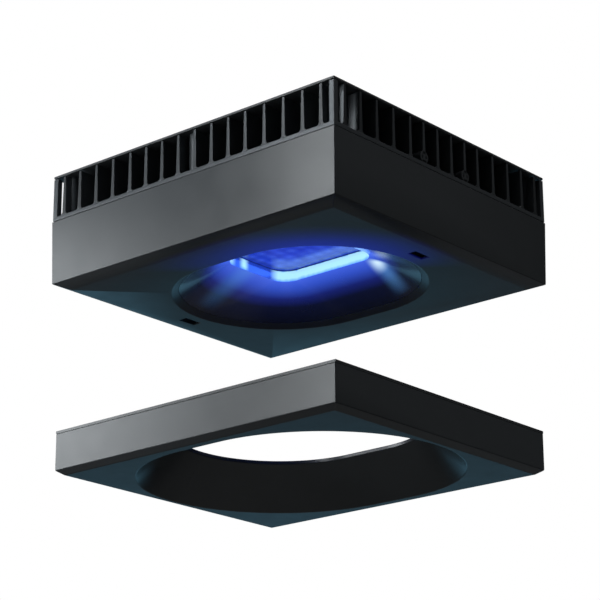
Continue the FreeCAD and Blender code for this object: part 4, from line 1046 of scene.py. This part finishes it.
@dataclass
class LightBowl:
    """The glossy bowl between the opening's lip and the lens window, and the lit parts at its end."""

    neck: Spot = (36.0 * MM, 27.0 * MM)
    neck_corner: float = 11.0 * MM
    mouth: float = 58.9 * MM
    wall: float = 2.3 * MM
    guide_wall: float = 2.5 * MM
    lens_rim: float = 4.0 * MM
    rounding: float = 0.4 * MM
    smooth: float = 40.0

    def window(self, grow: float) -> tuple[Spot, float]:
        """Half sizes and corner radius of the lens window, grown outward."""
        return (self.neck[0] + grow, self.neck[1] + grow), self.neck_corner + grow

    def bowl(self) -> None:
        """The bowl's smooth wall."""
        low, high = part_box("light_bowl")
        bench = Bench.funnel("light_bowl_skin", (*stadium(self.mouth), low.z), (*self.window(0.0), high.z),
                             closed=False)
        bench.apply("SOLIDIFY", thickness=self.wall, offset=1.0, use_even_offset=True)
        bench.finish("lamp", "bowl", BOWL, "light_bowl", smooth=self.smooth)

    def guide(self) -> None:
        """The clear wall round the lens window."""
        low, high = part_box("light_guide")
        bench = Bench.slab("light_guide_wall", *self.window(self.guide_wall), low.z, high.z)
        bench.pierce(self.guide_wall).round_edges(self.rounding)
        glow = GuideFinish("lit_guide", (0.02, 0.03, 0.06), 0.2, low=low.z, high=high.z,
                           dim=(0.10, 0.30, 0.85), bright=(0.42, 0.78, 0.98))
        bench.finish("lamp", "guide", glow, "light_guide", smooth=self.smooth)

    def lens(self) -> None:
        """The lens with a rounded rim."""
        low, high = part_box("lens")
        bench = Bench.slab("lens_glass", *self.window(self.lens_rim), low.z, high.z)
        bench.round_edges(self.rounding)
        glass = LensFinish("lens_glass", (0.05, 0.10, 0.45), 0.12, dim=(0.008, 0.022, 0.24),
                           bright=(0.03, 0.07, 0.42))
        bench.finish("lamp", "lens", glass, "lens", smooth=self.smooth)

    def diodes(self, node: bpy.types.Object) -> None:
        """Light the diodes."""
        low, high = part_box("led_diodes")
        GlowFinish("lit_diodes", (0.5, 0.6, 0.8), 0.3, low=low.z, high=high.z, dim=(0.05, 0.15, 0.8),
                   bright=(0.25, 0.5, 1.0), strength=0.25).coat(node)

    def build(self, nodes: dict[str, bpy.types.Object]) -> None:
        """Make the lit recess.

        Args:
            nodes: The frame's nodes by name.
        """
        self.bowl()
        self.guide()
        self.lens()
        self.diodes(nodes["led_diodes"])


@dataclass
class LouvreHeatsink:
    """The cast heatsink: base plate, pedestal, louvre fins, corner posts, pillars and arm bosses."""

    seam_z: float = -28.0 * MM
    sill: float = 2.5 * MM
    plate_rounding: float = 0.3 * MM
    pedestal_size: Spot = (52.0 * MM, 39.0 * MM)
    pedestal_rounding: float = 0.4 * MM
    post_half: float = 1.75 * MM
    rounding: float = 0.22 * MM
    fin_top: float = -1.9 * MM
    root: float = 2.7 * MM
    tip: float = 1.65 * MM
    flare: float = 1.1 * MM
    fan_half: float = 47.5 * MM
    channel: float = 3.0 * MM
    fins_x: tuple[float, ...] = (6.3, 18.9, 31.5, 44.1, 57.9, 71.6, 85.2, 98.0)
    fins_y: tuple[float, ...] = (6.3, 18.7, 30.7, 45.4, 59.7, 73.4, 86.6)
    pillar: float = 3.4 * MM
    hanger: float = 5.2 * MM
    hanger_wall: float = 2.2 * MM
    boss: float = 3.55 * MM
    boss_wall: float = 1.7 * MM
    boss_long: float = 9.0 * MM
    boss_bore: float = 8.0 * MM
    boss_y: float = 18.7 * MM
    boss_z: float = -22.4 * MM

    def fin(self, sill_z: float, long: float) -> Bench:
        """One fin along Y that starts at the origin, with a flare at its foot.

        Args:
            sill_z: The height that it stands on.
            long: Its length.

        Returns:
            The bench with the fin on it.
        """
        half = self.root / 2
        bench = Bench.block("fin", (-half, 0.0, sill_z), (half, long, sill_z + self.flare))
        bench.faces(Side.DOWN.faces()).resize(1 + 2 * self.flare / self.root)
        tall = self.fin_top - sill_z - self.flare
        bench.faces(Side.UP.faces()).extrude(z=tall).resize(self.tip / self.root)
        return bench.round_edges(self.rounding)

    def fin_places(self, spots: tuple[float, ...], far: float, slope: float, long: float,
                   turn: Matrix) -> list[Matrix]:
        """The places of the fins on two opposite sides of the fan bay.

        Args:
            spots: How far to either side the fins stand, in millimetres.
            far: How far out they end.
            slope: How much further out a fin starts, for how far it stands past the bay.
            long: The length of the fin that is copied.
            turn: The turn from the front and rear to the sides that they stand on.

        Returns:
            The place and stretch of each fin.
        """
        moves = []
        for spot in spots:
            across = spot * MM
            past_bay = across - self.fan_half
            inner = self.fan_half if past_bay < 0 else self.fan_half + past_bay * slope + self.channel
            stretch = Matrix.Diagonal((1, (far - inner) / long, 1, 1))
            moves += [turn @ shift(side * across, start) @ stretch
                      for side in (1, -1) for start in (inner, -far)]
        return moves

    def fins(self, half_x: float, half_y: float, sill_z: float) -> Bench:
        """All louvre fins, standing off the four sides of the fan bay.

        Args:
            half_x: Half the heatsink's width.
            half_y: Half its depth.
            sill_z: The height that the fins stand on.

        Returns:
            The bench with the fins on it.
        """
        long = half_y - self.fan_half
        slope = long / (half_x - self.fan_half)
        moves = self.fin_places(self.fins_x, half_y, slope, long, Matrix.Identity(4))
        moves += self.fin_places(self.fins_y, half_x, 1 / slope, long, Matrix.Rotation(-math.pi / 2, 4, "Z"))
        return self.fin(sill_z, long).repeat(moves)

    def arm_bosses(self, half_x: float) -> Bench:
        """The bored bosses for the mounting arm, on both ends.

        Args:
            half_x: Half the heatsink's width.

        Returns:
            The bench with the bosses on it.
        """
        bench = Bench.rod("arm_boss", (0.0, 0.0, 0.0), self.boss, self.boss_long, sides=SMALL_ROUND)
        bench.faces(Side.UP.faces()).inset(self.boss_wall).extrude(z=-self.boss_bore)
        bench.round_edges(self.rounding)
        return bench.repeat([shift(side * (half_x - self.boss_long), y, self.boss_z)
                             @ Matrix.Rotation(side * math.pi / 2, 4, "Y")
                             for side in (1, -1) for y in (self.boss_y, -self.boss_y)])

    def build(self) -> None:
        """Make the heatsink and hang it on the lamp."""
        low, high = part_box("heatsink")
        half_x, half_y = high.x, high.y
        sill_z = self.seam_z + self.sill
        foot_z = sill_z - OVERLAP
        plate = Bench.block("louvre_heatsink", (-half_x, -half_y, self.seam_z), (half_x, half_y, sill_z))
        plate.round_edges(self.plate_rounding)
        out_x, out_y = self.pedestal_size
        pedestal = Bench.block("pedestal", (-out_x, -out_y, low.z), (out_x, out_y, self.seam_z))
        pedestal.round_edges(self.pedestal_rounding)
        half = self.post_half
        post = Bench.block("post", (-half, -half, foot_z), (half, half, self.fin_top))
        post.round_edges(self.plate_rounding)
        corners = mirrored([(half_x - half, half_y - half)])
        pillar = Bench.rod("pillar", (0, 0, foot_z), self.pillar, high.z - foot_z, sides=SMALL_ROUND)
        pillar.round_edges(self.rounding)
        hanger = Bench.rod("hanger_pillar", (0, 0, foot_z), self.hanger, high.z - foot_z, sides=40)
        hanger.pierce(self.hanger_wall)
        plate.join(pedestal, post.repeat([shift(*spot) for spot in corners]),
                   self.fins(half_x, half_y, sill_z), self.arm_bosses(half_x),
                   pillar.repeat([shift(*spot) for spot in CORNER_SCREWS + EDGE_SCREWS]),
                   hanger.repeat([shift(*spot) for spot in HANGERS]))
        plate.finish("lamp", "heatsink", HEATSINK, "heatsink")


@dataclass
class TopCover:
    """The thin top plate with its round air intake: rings held by spokes round a disc."""

    opening: float = 42.5 * MM
    pitch: float = 6.4 * MM
    bar: float = 2.2 * MM
    rings: int = 4
    spokes: int = 6
    spoke_wide: float = 3.2 * MM
    spoke_grip: float = 1.0 * MM
    spoke_drop: float = 0.05 * MM
    screw_hole: float = 2.5 * MM
    insert_hole: float = 3.05 * MM
    rounding: float = 0.35 * MM

    def grille(self, low: Vector, high: Vector) -> list[Bench]:
        """The rings, the middle disc and the spokes.

        Args:
            low: The cover's corner of least X, Y and Z.
            high: Its corner of most X, Y and Z.

        Returns:
            The grille's pieces.
        """
        tall = high.z - low.z
        made = []
        for ring in range(1, self.rings + 1):
            outer = self.opening - ring * self.pitch + self.bar
            rod = Bench.rod("ring", (0, 0, low.z), outer, tall, sides=ROUND)
            made.append(rod.pierce(self.bar).round_edges(self.rounding))
        disc = self.opening - (self.rings + 1) * self.pitch + self.bar
        made.append(Bench.rod("disc", (0, 0, low.z), disc, tall, sides=ROUND).round_edges(self.rounding))
        half = self.spoke_wide / 2
        spoke = Bench.block("spoke", (disc - self.spoke_grip, -half, low.z + self.spoke_drop),
                            (self.opening + self.spoke_grip, half, high.z - self.spoke_drop))
        spoke.round_edges(self.rounding)
        made.append(spoke.repeat([Matrix.Rotation(i * math.tau / self.spokes, 4, "Z")
                                  for i in range(self.spokes)]))
        return made

    def build(self) -> None:
        """Make the cover and hang it on the lamp."""
        low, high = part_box("top_cover")
        plate = Bench.block("louvre_cover", low, high)
        holes = [((0.0, 0.0), self.opening, ROUND)]
        holes += [(spot, self.screw_hole, SMALL_ROUND) for spot in CORNER_SCREWS + FAN_SCREWS + EDGE_SCREWS]
        holes += [(spot, self.insert_hole, SMALL_ROUND) for spot in HANGERS]
        plate.combine("DIFFERENCE", *(Bench.rod("hole", (*spot, low.z - PAST), radius, 4 * PAST, sides=sides)
                                      for spot, radius, sides in holes))
        plate.round_edges(self.rounding)
        plate.join(*self.grille(low, high))
        plate.finish("lamp", "cover", COVER, "top_cover")


# ---------------------------------------------------------------- shade

@dataclass
class ShadeShell:
    """The hollow shade moulding: outer walls, sloping band and the flared funnel with its neck."""

    band_tall: float = 2.6 * MM
    band_wide: float = 3.9 * MM
    wall: float = 2.2 * MM
    mouth: float = 81.7 * MM
    mouth_wall: float = 1.6 * MM
    mouth_step: float = 0.4 * MM
    neck: float = 59.3 * MM
    neck_wall: float = 1.6 * MM
    neck_tall: float = 2.2 * MM
    neck_seam: float = 0.01 * MM
    plate: float = 2.5 * MM
    rounding: float = 0.5 * MM

    def walls(self, low: Vector, high: Vector) -> Bench:
        """The open box: upright walls, sloping band and floor.

        Args:
            low: The shell's corner of least X, Y and Z.
            high: Its corner of most X, Y and Z.

        Returns:
            The bench with the box on it.
        """
        plate_z = high.z - self.plate
        bench = Bench.block("shade_walls", (low.x, low.y, low.z + self.band_tall), (high.x, high.y, plate_z))
        bench.faces(Side.DOWN.faces()).extrude(z=-self.band_tall)
        bench.draw_in(self.band_wide, high.x, high.y)
        bench.faces(Side.UP.faces()).inset(self.wall).extrude(z=-(plate_z - low.z - self.wall))
        return bench.leave()

    def build(self) -> None:
        """Make the shell and hang it on the shade."""
        low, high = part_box("shade_shell")
        neck_z = high.z - self.neck_tall
        neck_outside = stadium(self.neck + self.neck_wall)
        bench = self.walls(low, high)
        skin = Bench.funnel("skin", (*stadium(self.mouth + self.mouth_wall), low.z + self.mouth_step),
                            (*neck_outside, neck_z))
        collar = Bench.slab("collar", *neck_outside, neck_z - OVERLAP, high.z)
        bench.combine("UNION", skin, collar)
        widening = PAST * (self.mouth - self.neck) / (neck_z - low.z)
        light = Bench.funnel("light", (*stadium(self.mouth + widening), low.z - PAST),
                             (*stadium(self.neck), neck_z))
        throat = Bench.slab("throat", *stadium(self.neck), neck_z - self.neck_seam, high.z + PAST)
        bench.combine("DIFFERENCE", light, throat)
        bench.round_edges(self.rounding, SOFT_STEPS, SOFT_ANGLE)
        bench.finish("shade", "shade", SHADE, "shade_shell", smooth=SHELL_SMOOTH)


# ---------------------------------------------------------------- studio

@dataclass(frozen=True)
class StudioLight:
    """A soft rectangular light that faces a point."""

    name: str
    place: Place
    aim: Place
    size: Spot
    power: float
    colour: Colour = WHITE

    def add(self) -> None:
        """Put the light in the scene."""
        data = bpy.data.lights.new(self.name, "AREA")
        data.shape, data.size, data.size_y = "RECTANGLE", *self.size
        data.energy, data.color = self.power, self.colour
        light = bpy.data.objects.new(self.name, data)
        light.location = self.place
        facing = Vector(self.aim) - Vector(self.place)
        light.rotation_euler = facing.to_track_quat("-Z", "Y").to_euler()
        light.visible_camera = False
        bpy.context.scene.collection.objects.link(light)


COOL, TEAL, DEEP_BLUE = (0.92, 0.97, 1.0), (0.26, 0.70, 1.0), (0.05, 0.18, 1.0)
LIGHTS = (
    StudioLight("key_softbox", (-0.60, -0.45, -0.01), (-0.08, -0.08, -0.09), (0.30, 0.36), 2.5, COOL),
    StudioLight("front_strip", (-0.085, -0.335, 0.02), (0.10, -0.09, -0.09), (0.04, 0.36), 0.52, COOL),
    StudioLight("top_softbox", (0.1, 0.3, 1.5), (0.0, 0.0, -0.05), (1.6, 1.6), 20.0),
    StudioLight("rear_softbox", (-1.3, 1.3, 0.7), (0.0, 0.0, -0.1), (1.0, 0.8), 3.0),
    StudioLight("horizon_card", (-1.54, 1.54, -0.34), (0.0, 0.0, -0.12), (1.9, 0.7), 1.9, TEAL),
    StudioLight("side_card", (1.4, 1.15, 0.35), (0.1, 0.0, -0.1), (1.2, 1.2), 0.42, COOL),
    StudioLight("lens_light", (0.0, 0.0, -0.0448), (0.0, 0.0, -1.0), (0.066, 0.048), 0.10, DEEP_BLUE),
)


@dataclass(frozen=True)
class FloorFinish(Finish):
    """A floor that is pale to look at and as dim as the room in reflections."""

    pale: Colour = (0.80, 0.81, 0.81)

    def dress(self, recipe: Recipe) -> None:
        """Show the camera a pale glow instead of the lit surface.

        Args:
            recipe: The material in the making.
        """
        super().dress(recipe)
        glow = recipe.add("ShaderNodeEmission", {}, {"Color": colour4(self.pale)})
        seen = recipe.add("ShaderNodeLightPath", output="Is Camera Ray")
        surface = Term(recipe, recipe.shader.outputs[0])
        mixed = recipe.add("ShaderNodeMixShader", {}, {0: seen, 1: surface, 2: glow})
        output = next(n for n in recipe.tree.nodes if n.type == "OUTPUT_MATERIAL")
        recipe.feed(output.inputs["Surface"], mixed)


FLOOR = FloorFinish("pale_floor", (0.78, 0.78, 0.77), 0.7, tone=0.02, clouds=6.0, grain=400.0)


@dataclass(frozen=True)
class Studio:
    """Pale floor, soft lights, a white backdrop and the camera."""

    camera_place: Place = (0.77627, -0.89794, -0.48457)
    azimuth: float = 40.827
    elevation: float = -18.992
    roll: float = -0.2369
    lens: float = 130.58
    sensor: float = 36.0
    clip: Spot = (0.01, 20.0)
    room: Colour = (0.80, 0.92, 1.0)
    room_strength: float = 0.024
    floor_drop: float = 1.5
    floor_size: float = 7.0

    def camera(self) -> None:
        """The camera, low and to one side."""
        data = bpy.data.cameras.new("camera")
        data.lens, data.sensor_width = self.lens, self.sensor
        data.clip_start, data.clip_end = self.clip
        camera = bpy.data.objects.new("camera", data)
        turn, rise = math.radians(self.azimuth), math.radians(self.elevation)
        back = Vector((math.sin(turn) * math.cos(rise), -math.cos(turn) * math.cos(rise), math.sin(rise)))
        right = (-back).cross(Vector((0, 0, 1))).normalized()
        axes = Matrix((right, right.cross(-back), back)).transposed().to_4x4()
        camera.matrix_world = (Matrix.Translation(self.camera_place) @ axes
                               @ Matrix.Rotation(math.radians(self.roll), 4, "Z"))
        bpy.context.scene.collection.objects.link(camera)
        bpy.context.scene.camera = camera

    def backdrop(self) -> None:
        """A world that is white to look at and dim in reflections."""
        bpy.context.scene.view_settings.view_transform = "Standard"
        world = bpy.data.worlds.new("studio")
        world.use_nodes = True
        bpy.context.scene.world = world
        nodes, links = world.node_tree.nodes, world.node_tree.links
        room, white = nodes["Background"], nodes.new("ShaderNodeBackground")
        for node, colour, strength in ((room, self.room, self.room_strength), (white, WHITE, 1.0)):
            node.inputs["Color"].default_value = colour4(colour)
            node.inputs["Strength"].default_value = strength
        mix, path = nodes.new("ShaderNodeMixShader"), nodes.new("ShaderNodeLightPath")
        links.new(path.outputs["Is Camera Ray"], mix.inputs[0])
        links.new(room.outputs[0], mix.inputs[1])
        links.new(white.outputs[0], mix.inputs[2])
        links.new(mix.outputs[0], nodes["World Output"].inputs["Surface"])

    def floor(self) -> None:
        """A plain pale floor well below the shade."""
        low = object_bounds()[0].z
        Bench.clear()
        bpy.ops.mesh.primitive_plane_add(size=self.floor_size, location=(0, 0, low - self.floor_drop))
        floor = bpy.context.object
        floor.name = "studio_floor"
        FLOOR.coat(floor)
        floor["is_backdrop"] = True

    def build(self) -> None:
        """Set up the whole studio."""
        self.camera()
        self.backdrop()
        self.floor()
        for light in LIGHTS:
            light.add()


def main() -> None:
    """Load the frame, build every piece round it, and set up the studio."""
    logging.basicConfig(level=logging.INFO, format="%(name)s: %(message)s")
    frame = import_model()
    nodes = frame["nodes"]
    Studio().build()
    dress_nodes(nodes)
    LowerHousing().build()
    LightBowl().build(nodes)
    LouvreHeatsink().build()
    TopCover().build()
    ShadeShell().build()


if __name__ == "__main__":
    main()
